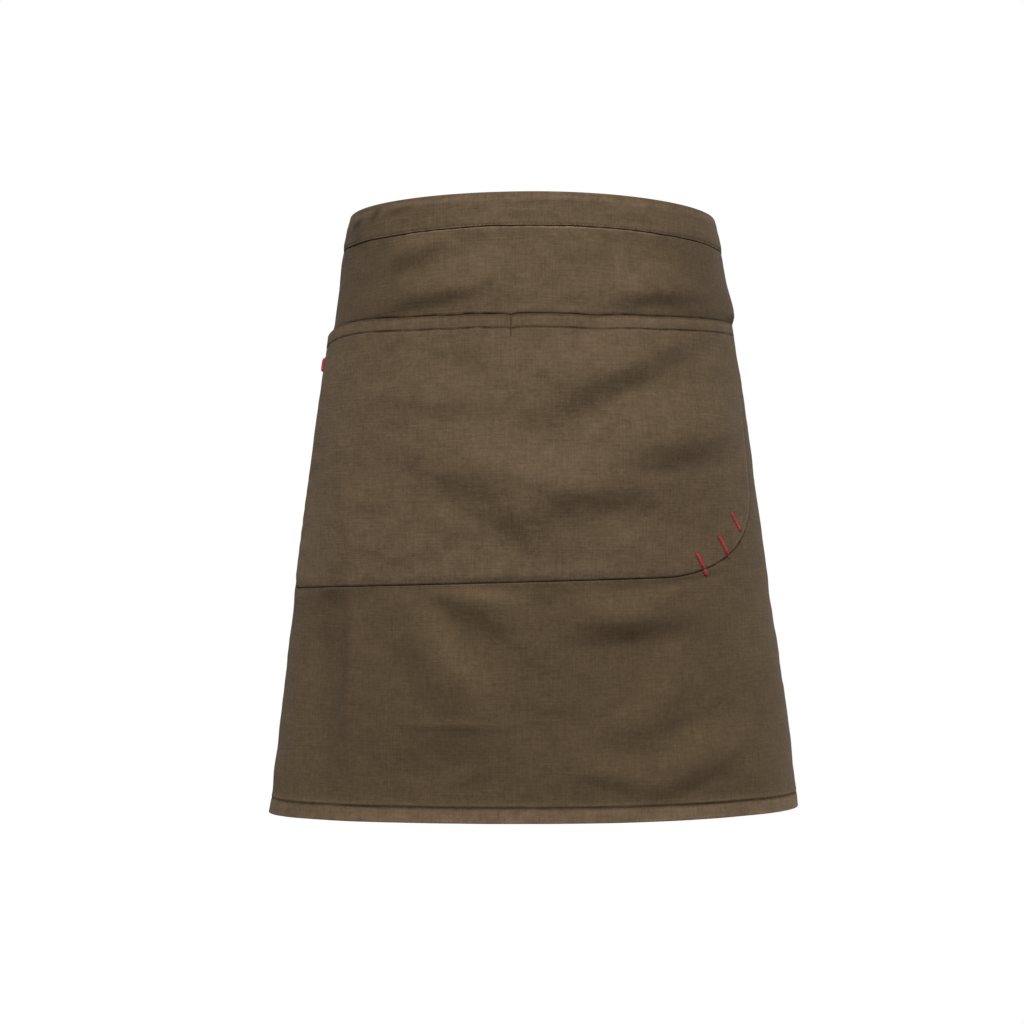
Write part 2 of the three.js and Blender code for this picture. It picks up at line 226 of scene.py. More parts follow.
POCKET_FOLDS = (
    Fold(s=59, t=131, slope=-25, length=112, above=42, below=24, rise=5),
    Fold(s=107, t=182, slope=-8, length=102, above=44, below=29, rise=6.4),
    Fold(s=-31, t=209, slope=27, length=80, above=48, below=42, rise=5.8),
    Fold(s=45, t=219, slope=-5, length=86, above=34, below=27, rise=5.9),
    Fold(s=-13, t=244, slope=40, length=34, above=26, below=20, rise=2.6),
    Fold(s=-57, t=156, slope=6, length=82, above=30, below=19, rise=2),
    Fold(s=-184, t=215, slope=90, length=110, above=30, below=30, rise=-1.8),
)

LOWER_FOLDS = (
    Fold(s=-38, t=308, slope=30, length=66, above=26, below=22, rise=4.6),
    Fold(s=75, t=317, slope=-4, length=78, above=26, below=22, rise=5.6),
    Fold(s=-68, t=350, slope=54, length=84, above=25, below=35, rise=7.4),
    Fold(s=99, t=383, slope=-60, length=50, above=32, below=24, rise=3.6),
    Fold(s=124, t=428, slope=-23, length=76, above=34, below=21, rise=5.4),
    Fold(s=60, t=436, slope=12, length=52, above=22, below=13, rise=2.4),
    Fold(s=-72, t=398, slope=4, length=84, above=60, below=42, rise=5),
    Fold(s=-166, t=375, slope=90, length=125, above=26, below=32, rise=-6.5),
    Fold(s=-226, t=400, slope=88, length=150, above=40, below=40, rise=-1.2),
    Fold(s=196, t=410, slope=92, length=130, above=36, below=36, rise=1.5),
    Fold(s=-300, t=440, slope=93, length=190, above=42, below=42, rise=9),
    Fold(s=276, t=440, slope=87, length=190, above=36, below=36, rise=8),
)

# Creases too fine for the solids
PANEL_CREASES = (
    Fold(s=112, t=295, slope=-22, length=34, above=12, below=10, rise=1.8),
    Fold(s=-62, t=397, slope=1.5, length=60, above=5, below=5, rise=1.2),
    Fold(s=-54, t=437, slope=-17, length=28, above=12, below=8, rise=1.4),
)
YOKE_CREASES = (
    Fold(s=-36, t=94, slope=9, length=26, above=6, below=4, rise=1.3),
    Fold(s=66, t=92, slope=-6, length=24, above=6, below=4, rise=0.7),
)
BAND_CREASES = (
    Fold(s=-134, t=8, slope=-40, length=10, above=5, below=5, rise=-0.65),
    Fold(s=-160, t=12, slope=-12, length=14, above=5, below=5, rise=-0.65),
    Fold(s=-108, t=9, slope=-8, length=20, above=5, below=5, rise=-0.35),
)

TACKS = (
    Tack("red_tack_1", s=130.9, t=277.7, slope=59, length=18.5),
    Tack("red_tack_2", s=152.2, t=264.4, slope=56, length=18.5),
    Tack("red_tack_3", s=165.5, t=245.2, slope=52, length=16.5),
    Tack("red_tack_side", s=-211.5, t=116.6, slope=88, length=11, height=2.4, lift=1.3),
)
MOUTH_TACK = Tack("mouth_tack", s=-17, t=100.6, slope=90, length=14, width=1.1, height=0.55)


def ease(x: Array) -> Array:
    """Smooth step, 0 up to x = 0 and 1 from x = 1."""
    x = np.clip(x, 0.0, 1.0)
    return x * x * (3.0 - 2.0 * x)


def lobe(x: Array) -> Array:
    """Smooth bump, 1 at x = 0 and 0 beyond x = -1 and x = 1."""
    return np.cos(np.clip(x, -1.0, 1.0) * np.pi / 2) ** 2


def beyond(x: Array) -> Array:
    """The part of x above 0."""
    return np.clip(x, 0, None)


def line_mark(x: Array, half: Array | float) -> Array:
    """Narrow soft line, 1 at x = 0 and about a third at half."""
    return np.exp(-((x / half) ** 2))


def edge_roll(inside: Array, radius: float) -> Array:
    """How far a folded edge rolls back, from the distance inside it."""
    short = radius - np.clip(inside, 0.0, radius)
    return radius - np.sqrt(radius**2 - short**2)


def ladder(start: float, *stretches: tuple[float, float]) -> Array:
    """Rising values in even steps, one stretch after another.

    Args:
        start: First value.
        stretches: End and step of each stretch.

    Returns:
        All the values, the start and every end among them.
    """
    values = [start]
    for end, step in stretches:
        count = max(1, round((end - values[-1]) / step))
        values.extend(np.linspace(values[-1], end, count + 1)[1:])
    return np.array(values)


def edged_ladder(start: float, end: float, step: float, fine: Sequence[float], fine_width: float) -> Array:
    """Rising values in even steps, with closer ones at both ends.

    Args:
        start: First value.
        end: Last value.
        step: Step in the middle.
        fine: Distances of the closer values from each end.
        fine_width: Distance from each end at which the even steps begin.

    Returns:
        All the values.
    """
    near = np.array(fine)
    middle = ladder(start + fine_width, (end - fine_width, step))
    return np.concatenate([start + near, middle, end - near[::-1]])


def unit(vectors: Array) -> Array:
    """Vectors scaled to length 1."""
    return vectors / np.linalg.norm(vectors, axis=-1, keepdims=True)


def run_lengths(points: Array) -> Array:
    """Length along a row of points, from 0 at the first one."""
    return np.concatenate([[0], np.cumsum(np.linalg.norm(np.diff(points, axis=0), axis=1))])


def blend(corners: Sequence[Array], u: Array, v: Array) -> Array:
    """Values between the four corners of a cell.

    Args:
        corners: Values at the upper left, upper right, lower left and lower right.
        u: Shares of the way from left to right.
        v: Shares of the way down.

    Returns:
        A value for each place.
    """
    upper = corners[0] * (1 - u) + corners[1] * u
    lower = corners[2] * (1 - u) + corners[3] * u
    return upper * (1 - v) + lower * v


@dataclass(frozen=True)
class Crumple:
    """Unevenness of handled cloth: seeded heights on a lattice, eased between its points."""

    seed: int
    cell_s: float
    cell_t: float
    points: int = 128

    def sample(self, s: Array, t: Array) -> Array:
        """Heights from -1 to 1.

        Args:
            s: Places along the waist.
            t: Levels below the top edge.

        Returns:
            A height for each place.
        """
        lattice = np.random.default_rng(self.seed).uniform(-1.0, 1.0, (self.points, self.points))
        across = np.asarray(s) / self.cell_s + self.points / 2
        down = np.asarray(t) / self.cell_t
        column = np.floor(across).astype(int)
        row = np.floor(down).astype(int)
        steps = ((0, 0), (1, 0), (0, 1), (1, 1))
        corners = [lattice[(column + i) % self.points, (row + j) % self.points] for i, j in steps]
        return blend(corners, ease(across - column), ease(down - row))


@dataclass(frozen=True)
class Pucker:
    """Small gathers that a row of stitches draws into the cloth beside it."""

    seed: int
    pitch: float
    height: float
    reach: float
    slant: float = 0.0
    wander_cell: float = 31.0
    swell_cell: float = 23.0
    waviness: float = 2.6

    def sample(self, along: Array, away: Array) -> Array:
        """Height of the gathers.

        Args:
            along: Length along the seam.
            away: Distance from the seam, with its side as its sign.

        Returns:
            A height in millimetres for each place.
        """
        level = np.zeros_like(along)
        wander = Crumple(self.seed, self.wander_cell, 1.0).sample(along, level)
        swell = Crumple(self.seed + 1, self.swell_cell, 1.0).sample(along, level)
        wave = np.sin(2 * np.pi * (along + self.slant * away) / self.pitch + self.waviness * wander)
        return self.height * wave * (0.6 + 0.4 * swell) * np.exp(-np.abs(away) / self.reach)


class WornForm:
    """Surface that the apron takes when it is tied on."""

    LOOKUP_STEP = 0.5
    LEVEL_STEP = 2.0
    LONGEST = 460.0
    ANGLES = 721

    def __init__(self, levels: Sequence[FormLevel], sizes: ApronSizes) -> None:
        """Keeps the levels and works out how length along the cloth turns into an angle.

        Args:
            levels: Rows of the form, from the top down.
            sizes: Sizes of the apron.
        """
        self.sizes = sizes
        self.rows = np.array([astuple(row) for row in levels], dtype=float)
        drops = np.arange(0.0, sizes.length + self.LEVEL_STEP, self.LEVEL_STEP)
        angles = np.linspace(0.0, np.pi, self.ANGLES)
        half, limb, front, back = self.level(drops)[:, :4, None].transpose(1, 0, 2)
        reach = np.where(np.cos(angles) > 0, front, back)
        across = half * np.sin(angles)
        depth = limb - reach * np.cos(angles)
        steps = np.hypot(np.diff(across, axis=1), np.diff(depth, axis=1))
        girth = np.pad(np.cumsum(steps, axis=1), ((0, 0), (1, 0)))
        lengths = np.arange(0.0, self.LONGEST, self.LOOKUP_STEP)
        self.angle_map = np.array([np.interp(lengths, row, angles) for row in girth])
        self.half_girth = np.interp(sizes.top, drops, girth[:, -1])

    def level(self, t: Array) -> Array:
        """Values of the form at each level, on a smooth curve through its rows.

        Args:
            t: Levels below the top edge.

        Returns:
            Half-width, limb depth, front reach, back reach, left sag and right sag in the last axis.
        """
        drops = self.rows[:, 0]
        values = self.rows[:, 1:]
        last = len(drops) - 1
        t = np.clip(t, drops[0], drops[-1])
        upper = np.clip(np.searchsorted(drops, t, side="right"), 1, last)
        lower = upper - 1
        before = np.where(lower > 0, lower - 1, upper)
        after = np.where(upper < last, upper + 1, lower)
        span = drops[upper] - drops[lower]
        lead = 0.5 * span / (drops[lower] - drops[before])
        trail = 0.5 * span / (drops[after] - drops[upper])
        p = (t - drops[lower]) / span
        shares = (
            (before, -lead * p**3 + 2 * lead * p**2 - lead * p),
            (lower, (1 + lead) * p**3 - (1.5 + 2 * lead) * p**2 + (lead - 0.5) * p + 1),
            (upper, -(1 + trail) * p**3 + (1.5 + trail) * p**2 + 0.5 * p),
            (after, trail * (p**3 - p**2)),
        )
        return sum(share[..., None] * values[index] for index, share in shares)

    def angle(self, s: Array, t: Array) -> Array:
        """Angle round the form, 0 at the front, at each place on the cloth.

        Args:
            s: Places along the waist.
            t: Levels below the top edge.

        Returns:
            Angles in radians with the sign of s.
        """
        rows, columns = self.angle_map.shape
        across = np.clip(np.abs(s) / self.LOOKUP_STEP, 0, columns - 1.001)
        down = np.clip(t / self.LEVEL_STEP, 0, rows - 1.001)
        i = across.astype(int)
        j = down.astype(int)
        steps = ((0, 0), (0, 1), (1, 0), (1, 1))
        corners = [self.angle_map[j + below, i + beside] for below, beside in steps]
        return np.sign(s) * blend(corners, across - i, down - j)

    def place(self, s: Array, t: Array, out: Array) -> Array:
        """Points of the form, moved outwards.

        Args:
            s: Places along the waist; past the middle of the back they go on round the other side.
            t: Levels below the top edge.
            out: Distances outwards from the form.

        Returns:
            Points in metres in the last axis.
        """
        s, t, out = np.broadcast_arrays(*(np.asarray(value, dtype=float) for value in (s, t, out)))
        s = np.where(s > self.half_girth, s - 2 * self.half_girth, s)
        half, limb, front, back, sag_left, sag_right = np.moveaxis(self.level(t), -1, 0)
        angle = self.angle(s, t)
        sine = np.sin(angle)
        cosine = np.cos(angle)
        reach = np.where(cosine > 0, front, back)
        normal = unit(np.stack([reach * sine, -half * cosine], axis=-1))
        side_sag = np.where(s < 0, sag_left, sag_right)
        mean_sag = (sag_left + sag_right) / 2
        back_sag = side_sag + (mean_sag - side_sag) * cosine**2
        sag = np.where(cosine > 0, side_sag * sine**2, back_sag)
        x = half * sine + normal[..., 0] * out
        y = limb - reach * cosine + normal[..., 1] * out
        z = self.sizes.top - t - sag
        return np.stack([x, y, z], axis=-1) * MM


def fold_rise(folds: Sequence[Fold], s: Array, t: Array) -> Array:
    """Height of a table's folds.

    Args:
        folds: Rows of the table.
        s: Places along the waist.
        t: Levels below the top edge.

    Returns:
        The sum of the folds in millimetres at each place.
    """
    total = np.zeros(np.broadcast(s, t).shape)
    for fold in folds:
        turn = math.radians(fold.slope)
        along = (s - fold.s) * math.cos(turn) + (t - fold.t) * math.sin(turn)
        across = (t - fold.t) * math.cos(turn) - (s - fold.s) * math.sin(turn)
        width = np.where(across < 0, fold.above, fold.below)
        total = total + fold.rise * lobe(along / fold.length) * lobe(across / width)
    return total


@dataclass(frozen=True)
class ApronRelief:
    """How far the panel and the pocket stand off the worn form, in millimetres."""

    sizes: ApronSizes
    handling: Crumple = Crumple(seed=11, cell_s=34, cell_t=19)
    rumple: Crumple = Crumple(seed=23, cell_s=12, cell_t=7)
    hem_gather: Pucker = Pucker(seed=5, pitch=8.6, height=0.5, reach=8, slant=0.25)
    waist_gather: Pucker = Pucker(seed=31, pitch=10.5, height=0.4, reach=9)
    mouth_gather: Pucker = Pucker(seed=47, pitch=9.4, height=0.35, reach=6, slant=-0.3)
    sewn_gather: Pucker = Pucker(seed=61, pitch=9.0, height=0.3, reach=6)
    hem_curl: float = 1.3
    crispness: float = 1.2
    waist_puff: float = 1.1
    waist_reach: float = 20.0
    pocket_puff: float = 1.2
    pocket_reach: float = 14.0
    edge_press: float = 1.0
    seam_waver: float = 0.45
    large_crumple: float = 0.6
    small_crumple: float = 0.2
    mouth_pinch: float = 0.9
    mouth_dip: float = 1.1
    mouth_lift_left: float = 2.7
    mouth_lift_right: float = 2.8
    mouth_droop: float = 3.0
    seam_unevenness: Crumple = Crumple(seed=71, cell_s=7, cell_t=60)
    hand: Crumple = Crumple(seed=79, cell_s=15, cell_t=60)

    def seam_tone(self, s: Array, t: Array) -> Array:
        """How strongly a seam's line shows along its length."""
        return 0.66 + 0.34 * self.seam_unevenness.sample(s, t)

    def sideways(self, s: Array) -> Array:
        """0 in the middle of the front, where the seams' painted shade is lightest, 1 towards its two sides.
        """
        return ease((np.abs(s + 10) - 50) / 80)

    def waver(self, s: Array, t: Array) -> Array:
        """How far a seam strays from its line along its length."""
        return self.seam_waver * self.hand.sample(s, t)

    def band_foot(self, s: Array) -> Array:
        """Level of the waistband's lower edge."""
        return self.sizes.band_height + self.waver(s, self.sizes.band_height) - 0.2

    def pressed(self, s: Array, t: Array) -> Array:
        """How far the pocket's sewn edge is pressed flat, most in the middle of its foot."""
        return self.edge_press * (1 + 0.35 * self.flattest(s)) * (1 - ease(self.inside_pocket(s, t) / 5))

    def flattest(self, s: Array) -> Array:
        """1 in the middle of the pocket's foot, where it lies flattest, 0 towards its sides."""
        return lobe((s + 25) / 80)

    def pocket_base(self, s: Array) -> Array:
        """Level of the pocket's straight bottom edge."""
        return self.sizes.pocket_bottom - self.sizes.pocket_tilt * (s - self.sizes.turn)

    def corner(self, s: Array) -> Array:
        """Height of the pocket's lower corner on that side."""
        return np.where(s < self.sizes.turn, self.sizes.left_corner, self.sizes.right_corner_height)

    def beside_pocket(self, s: Array) -> Array:
        """How far a place lies beside the pocket, negative within its width."""
        return np.maximum(self.sizes.pocket_left - s, s - self.sizes.pocket_right)

    def past_flat(self, s: Array) -> Array:
        """How far a place lies past the pocket's straight bottom, in the scale of the corner's height."""
        width = np.where(s < self.sizes.turn, self.sizes.left_corner, self.sizes.right_corner)
        return (self.beside_pocket(s) + width) * self.corner(s) / width

    def pocket_foot(self, s: Array) -> Array:
        """Level of the pocket's bottom edge, its corners included."""
        corner = self.corner(s)
        return self.pocket_base(s) - corner + np.sqrt(corner**2 - np.clip(self.past_flat(s), 0, corner) ** 2)

    def inside_pocket(self, s: Array, t: Array) -> Array:
        """How far a place lies inside the pocket's sewn edge, negative outside it.

        Args:
            s: Places along the waist.
            t: Levels below the top edge.

        Returns:
            A distance in millimetres for each place.
        """
        corner = self.corner(s)
        past = self.past_flat(s)
        below = t - (self.pocket_base(s) - corner)
        rounded = corner - np.hypot(past, below)
        straight = corner - np.maximum(past, below)
        return np.where((past > 0) & (below > 0), rounded, straight)

    def mouth_level(self, s: Array) -> Array:
        """Level of the pocket's mouth: dips at the tack and right of it, lifts towards both sides.

        Args:
            s: Places along the waist.

        Returns:
            A level for each place.
        """
        pinch = self.mouth_pinch * lobe((s - MOUTH_TACK.s) / 5)
        dip = self.mouth_dip * lobe((s - 48) / 34)
        lift = self.mouth_lift_left * lobe((s + 138) / 66) + self.mouth_lift_right * ease((s - 85) / 90)
        droop = self.mouth_droop * ease((-s - 168) / 35)
        return self.sizes.mouth + pinch + dip - lift + droop + self.waver(s, self.sizes.mouth)

    def under_pocket(self, s: Array, t: Array) -> Array:
        """1 where the pocket covers the panel, 0 from a few millimetres outside it."""
        return ease((self.inside_pocket(s, t) + 7) / 6) * ease((t - self.sizes.mouth + 7) / 6)

    def panel_rise(self, s: Array, t: Array) -> Array:
        """Folds of the panel: in the yoke, below the pocket and beside it.

        Args:
            s: Places along the waist.
            t: Levels below the top edge.

        Returns:
            A height in millimetres for each place.
        """
        sizes = self.sizes
        yoke = fold_rise(YOKE_FOLDS, s, t) * ease((sizes.mouth - t) / 12) * ease((t - sizes.band_height) / 10)
        yoke = yoke + fold_rise(YOKE_CREASES, s, t) * ease((sizes.mouth - t) / 4)
        below = ease((t - self.pocket_base(s)) / 14)
        beside = ease((self.beside_pocket(s) - 4) / 30)
        return yoke + fold_rise(LOWER_FOLDS + PANEL_CREASES, s, t) * np.maximum(below, beside)

    def panel_face(self, s: Array, t: Array) -> Array:
        """Outer face of the panel with its crumples and the gathers along its seams.

        Args:
            s: Places along the waist.
            t: Levels below the top edge.

        Returns:
            A distance off the worn form for each place.
        """
        sizes = self.sizes
        loose = (1 - self.under_pocket(s, t)) * ease((t - sizes.band_height) / 8)
        uneven = self.crumples(s, t)
        hem = self.hem_gather.sample(s + 0 * t, t - sizes.hem_line)
        waist = self.waist_gather.sample(s + 0 * t, t - sizes.band_height) * ease((t - sizes.band_height) / 2)
        front = 1 - 0.8 * ease((np.abs(s - sizes.turn) - 140) / 50)
        curl = self.hem_curl * front * ease((t - sizes.hem_line + 3) / (sizes.hem + 3)) ** 1.4
        return self.panel_rise(s, t) + self.seam_puff(s, t) + loose * (uneven + waist) + hem + curl

    def seam_puff(self, s: Array, t: Array) -> Array:
        """Panel's swelling just below the waist seam and just outside the pocket's edge, which draw it in.

        Args:
            s: Places along the waist.
            t: Levels below the top edge.

        Returns:
            A height in millimetres for each place.
        """
        under_band = t - self.band_foot(s)
        drawn = 0.85 + 0.35 * self.seam_unevenness.sample(s + 90, self.sizes.band_height)
        bulge = ease((under_band - 0.1) / 1.2) * np.exp(-beyond(under_band) / self.waist_reach)
        outside = -self.inside_pocket(s, t)
        swell = ease((outside - 0.1) / 1.1) * np.exp(-beyond(outside) / self.pocket_reach)
        pocket = self.pocket_puff * (1 - 0.4 * self.flattest(s)) * swell * (t > self.sizes.mouth)
        return self.waist_puff * drawn * bulge + pocket

    def crumples(self, s: Array, t: Array) -> Array:
        """Crumples of handled cloth, large and small ones together."""
        return self.large_crumple * self.handling.sample(s, t) + self.small_crumple * self.rumple.sample(s, t)

    def tack_hold(self, s: Array, t: Array) -> Array:
        """1 at the tack in the pocket's mouth, where the pocket can't stand off the panel."""
        return lobe(np.hypot((s - MOUTH_TACK.s) / 45, (t - MOUTH_TACK.t) / 40))

    def pocket_stand(self, s: Array, t: Array) -> Array:
        """How far the pocket bags off the panel.

        Args:
            s: Places along the waist.
            t: Levels below the top edge.

        Returns:
            A distance in millimetres for each place.
        """
        inside = self.inside_pocket(s, t)
        folds = self.crispness * fold_rise(POCKET_FOLDS, s, t) * ease(inside / 30)
        slack = self.sizes.bag * ease(inside / 50) + folds
        return self.sizes.gap + slack * (1 - 0.9 * self.tack_hold(s, t))

    def pocket_face(self, s: Array, t: Array) -> Array:
        """Outer face of the pocket with its crumples and the gathers along its seams.

        Args:
            s: Places along the waist.
            t: Levels below the top edge.

        Returns:
            A distance off the worn form for each place.
        """
        sizes = self.sizes
        inside = self.inside_pocket(s, t)
        below_mouth = t - sizes.mouth
        loose = ease(inside / 25) * ease((below_mouth - 4) / 12) * (1 - self.tack_hold(s, t))
        large = self.large_crumple * self.handling.sample(s + 400, t)
        uneven = large + self.small_crumple * self.rumple.sample(s + 300, t)
        mouth = self.mouth_gather.sample(s + 0 * t, below_mouth - sizes.mouth_hem)
        sewn = self.sewn_gather.sample(s + 0.8 * t, inside - 2) * ease(inside / 4)
        base = self.panel_rise(s, t) + self.pocket_stand(s, t) + 2 * sizes.cloth - self.pressed(s, t)
        return base + loose * uneven + mouth * ease(inside / 20) + sewn

    def carrying_face(self, s: Array, t: Array) -> Array:
        """Outer face of whatever layer is on top: the pocket, or the panel outside its sewn edge."""
        panel = self.panel_face(s, t)
        return panel + (self.pocket_face(s, t) - panel) * ease((self.inside_pocket(s, t) + 0.6) / 1.8)


def corner_points(mesh: bpy.types.Mesh) -> Array:
    """Point at each corner of a mesh's faces.

    Args:
        mesh: The mesh.

    Returns:
        Index of the point, for each corner.
    """
    corners = np.empty(len(mesh.loops), dtype=np.int32)
    mesh.loops.foreach_get("vertex_index", corners)
    return corners


@dataclass
class SheetGrid:
    """Closed sheet of cloth with two faces over one grid of places, its bottom row first."""

    name: str
    outer: Array
    inner: Array
    cloth: Array
    # Pale share: edge wear and painted light
    worn: Array
    # Deep share: painted shade, on the outer face and on the inner face
    seam: Array
    seam_behind: Array | None = None
    crease_angle: float = 50.0

    def build(self) -> Piece:
        """Adds a grid, thickens it and moves its two faces into place.

        Returns:
            The sheet, with its cloth places as a UV map and its wear, painted light and painted shade as
            attributes.
        """
        rows, columns = self.outer.shape[:2]
        bpy.ops.object.select_all(action="DESELECT")
        bpy.ops.mesh.primitive_grid_add(x_subdivisions=columns - 1, y_subdivisions=rows - 1, size=1.0)
        piece = bpy.context.active_object
        piece.name = self.name
        piece.data.name = self.name
        wall = piece.modifiers.new("wall", "SOLIDIFY")
        wall.thickness = MM
        wall.offset = -1.0
        bpy.ops.object.modifier_apply(modifier=wall.name)
        mesh = piece.data
        faces = np.concatenate([self.outer.reshape(-1, 3), self.inner.reshape(-1, 3)])
        mesh.vertices.foreach_set("co", faces.ravel())
        cloth = np.tile(self.cloth.reshape(-1, 2), (2, 1))[corner_points(mesh)]
        mesh.uv_layers.active.data.foreach_set("uv", cloth.ravel())
        behind = self.seam if self.seam_behind is None else self.seam_behind
        for label, front, back in (("worn", self.worn, self.worn), ("seam", self.seam, behind)):
            attribute = mesh.attributes.new(label, "FLOAT", "POINT")
            attribute.data.foreach_set("value", np.concatenate([front.ravel(), back.ravel()]))
        mesh.update()
        bpy.ops.object.shade_smooth_by_angle(angle=math.radians(self.crease_angle))
        return piece


@dataclass(frozen=True)
class SeamStitch:
    """Visible length of thread between two holes, modelled once and copied along each seam."""

    length: float = 2.6
    pitch: float = 3.1
    width: float = 0.62
    height: float = 0.5
    dive: float = 0.16
    unevenness: float = 0.08
    seed: int = 7

    def shape(self) -> Shape:
        """Models one stitch lying along X, its ends drawn into the cloth.

        Returns:
            Its points in metres and its faces.
        """
        bpy.ops.object.select_all(action="DESELECT")
        bpy.ops.mesh.primitive_uv_sphere_add(segments=8, ring_count=6, radius=0.5 * MM)
        stitch = bpy.context.active_object
        bpy.ops.object.mode_set(mode="EDIT")
        bpy.ops.mesh.select_all(action="SELECT")
        bpy.ops.transform.rotate(value=math.pi / 2, orient_axis="Y", center_override=(0, 0, 0))
        bpy.ops.transform.resize(value=(self.length, self.width, self.height), center_override=(0, 0, 0))
        bpy.ops.object.mode_set(mode="OBJECT")
        points = np.array([vertex.co[:] for vertex in stitch.data.vertices])
        points[:, 2] -= self.dive * MM * (2 * points[:, 0] / (self.length * MM)) ** 2
        faces = [tuple(face.vertices) for face in stitch.data.polygons]
        mesh = stitch.data
        bpy.data.objects.remove(stitch)
        bpy.data.meshes.remove(mesh)
        return points, faces


def joined_copies(name: str, shape: Shape, centres: Array, axes: Array, scales: Array) -> Piece:
    """One mesh of many copies of a small shape.

    Args:
        name: Name of the piece.
        shape: Points and faces of the shape.
        centres: Where each copy sits, in metres.
        axes: Three directions for each copy, as rows: along, across and out.
        scales: Scale of each copy along, across and out.

    Returns:
        The piece, smooth shaded, at the origin.
    """
    points, faces = shape
    moved = centres[:, None, :] + np.einsum("vk,nk,nkx->nvx", points, scales, axes)
    count = len(points)
    everything = [tuple(v + i * count for v in face) for i in range(len(centres)) for face in faces]
    mesh = bpy.data.meshes.new(name)
    mesh.from_pydata(moved.reshape(-1, 3).tolist(), [], everything)
    mesh.shade_smooth()
    piece = bpy.data.objects.new(name, mesh)
    bpy.context.collection.objects.link(piece)
    return piece


@dataclass
class SeamPath:
    """Line of stitches over the cloth, as points with the direction outwards at each."""

    points: Array
    outwards: Array

    @classmethod
    def on_face(cls, form: WornForm, s: Array, t: Array, face: Face) -> "SeamPath":
        """Path along places on a face of the apron.

        Args:
            form: Worn form that carries the face.
            s: Places along the waist.
            t: Levels below the top edge.
            face: How far the face stands off the form.

        Returns:
            The path in metres.
        """
        out = face(s, t)
        points = form.place(s, t, out)
        return cls(points, unit(form.place(s, t, out + 1) - points))

    def turned(self) -> "SeamPath":
        """The path with its stitches on the other side."""
        return SeamPath(self.points, -self.outwards)

    def stitches(self, stitch: SeamStitch) -> tuple[Array, Array]:
        """Where each stitch goes along the path.

        Args:
            stitch: Size and pitch of the stitches.

        Returns:
            Centres and axes of the stitches.
        """
        lengths = run_lengths(self.points)
        count = max(1, int(lengths[-1] / (stitch.pitch * MM)))
        middles = (np.arange(count) + 0.5) * lengths[-1] / count
        ahead = 0.5 * stitch.length * MM

        def sampled(values: Array, at: Array) -> Array:
            """Values along the path at given lengths."""
            return np.stack([np.interp(at, lengths, values[:, k]) for k in range(3)], axis=-1)

        centres = sampled(self.points, middles)
        along = unit(sampled(self.points, middles + ahead) - sampled(self.points, middles - ahead))
        out = sampled(self.outwards, middles)
        across = unit(np.cross(out, along))
        axes = np.stack([along, across, np.cross(along, across)], axis=1)
        return centres, axes


class NodeBoard:
    """Short way to lay out and link shader nodes in one tree."""

    def __init__(self, tree: bpy.types.NodeTree) -> None:
        """Keeps the tree."""
        self.tree = tree

    def add(self, kind: str, **inputs: object) -> bpy.types.Node:
        """Adds a node and sets or links its inputs.

        Args:
            kind: Blender's name for the node type.
            inputs: Value or socket for each input, by its name with underscores for spaces.

        Returns:
            The node.
        """
        node = self.tree.nodes.new(kind)
        self.fill(node, **inputs)
        return node

    def fill(self, node: bpy.types.Node, **inputs: object) -> None:
        """Sets or links a node's inputs, each by its name with underscores for spaces."""
        for label, value in inputs.items():
            self.feed(node.inputs[label.replace("_", " ")], value)

    def feed(self, socket: Socket, value: object) -> None:
        """Links an input to a socket, or sets its value.

        Args:
            socket: The input.
            value: Socket to link it to, or its new value.
        """
        if isinstance(value, Socket):
            self.tree.links.new(value, socket)
        else:
            socket.default_value = value

    def math(self, operation: str, a: object, b: object = 0.0) -> Socket:
        """Result of a Math node on two values or sockets.

        Args:
            operation: Blender's name for the operation.
            a: First value or socket.
            b: Second value or socket.

        Returns:
            The result.
        """
        node = self.tree.nodes.new("ShaderNodeMath")
        node.operation = operation
        self.feed(node.inputs[0], a)
        self.feed(node.inputs[1], b)
        return node.outputs[0]

    def mix(self, factor: object, a: object, b: object, blend: str = "MIX") -> Socket:
        """Result of a colour Mix node.

        Args:
            factor: Share of the second colour.
            a: First colour.
            b: Second colour.
            blend: Blend type.

        Returns:
            The mixed colour.
        """
        node = self.tree.nodes.new("ShaderNodeMix")
        node.data_type = "RGBA"
        node.blend_type = blend
        self.feed(node.inputs["Factor"], factor)
        self.feed(node.inputs[6], a)
        self.feed(node.inputs[7], b)
        return node.outputs[2]

    def streaks(self, vector: Socket, scale: Triple, detail: float) -> Socket:
        """Noise stretched by a Mapping node, about 0.5 in the mean.

        Args:
            vector: Cloth places in metres.
            scale: Repeats for each metre along the three axes.
            detail: Octaves of the noise.

        Returns:
            The noise value.
        """
        mapping = self.add("ShaderNodeMapping", Vector=vector, Scale=scale)
        noise = self.add("ShaderNodeTexNoise", Vector=mapping.outputs[0], Scale=1.0, Detail=detail)
        return noise.outputs[0]


def rgba(colour: Colour) -> tuple[float, float, float, float]:
    """Colour with full alpha."""
    return (*colour, 1.0)


def new_finish(name: str) -> tuple[bpy.types.Material, NodeBoard, bpy.types.Node]:
    """New material with nodes.

    Args:
        name: Name of the material.

    Returns:
        The material, a board on its tree and its Principled shader.
    """
    material = bpy.data.materials.new(name)
    material.use_nodes = True
    board = NodeBoard(material.node_tree)
    return material, board, board.tree.nodes["Principled BSDF"]


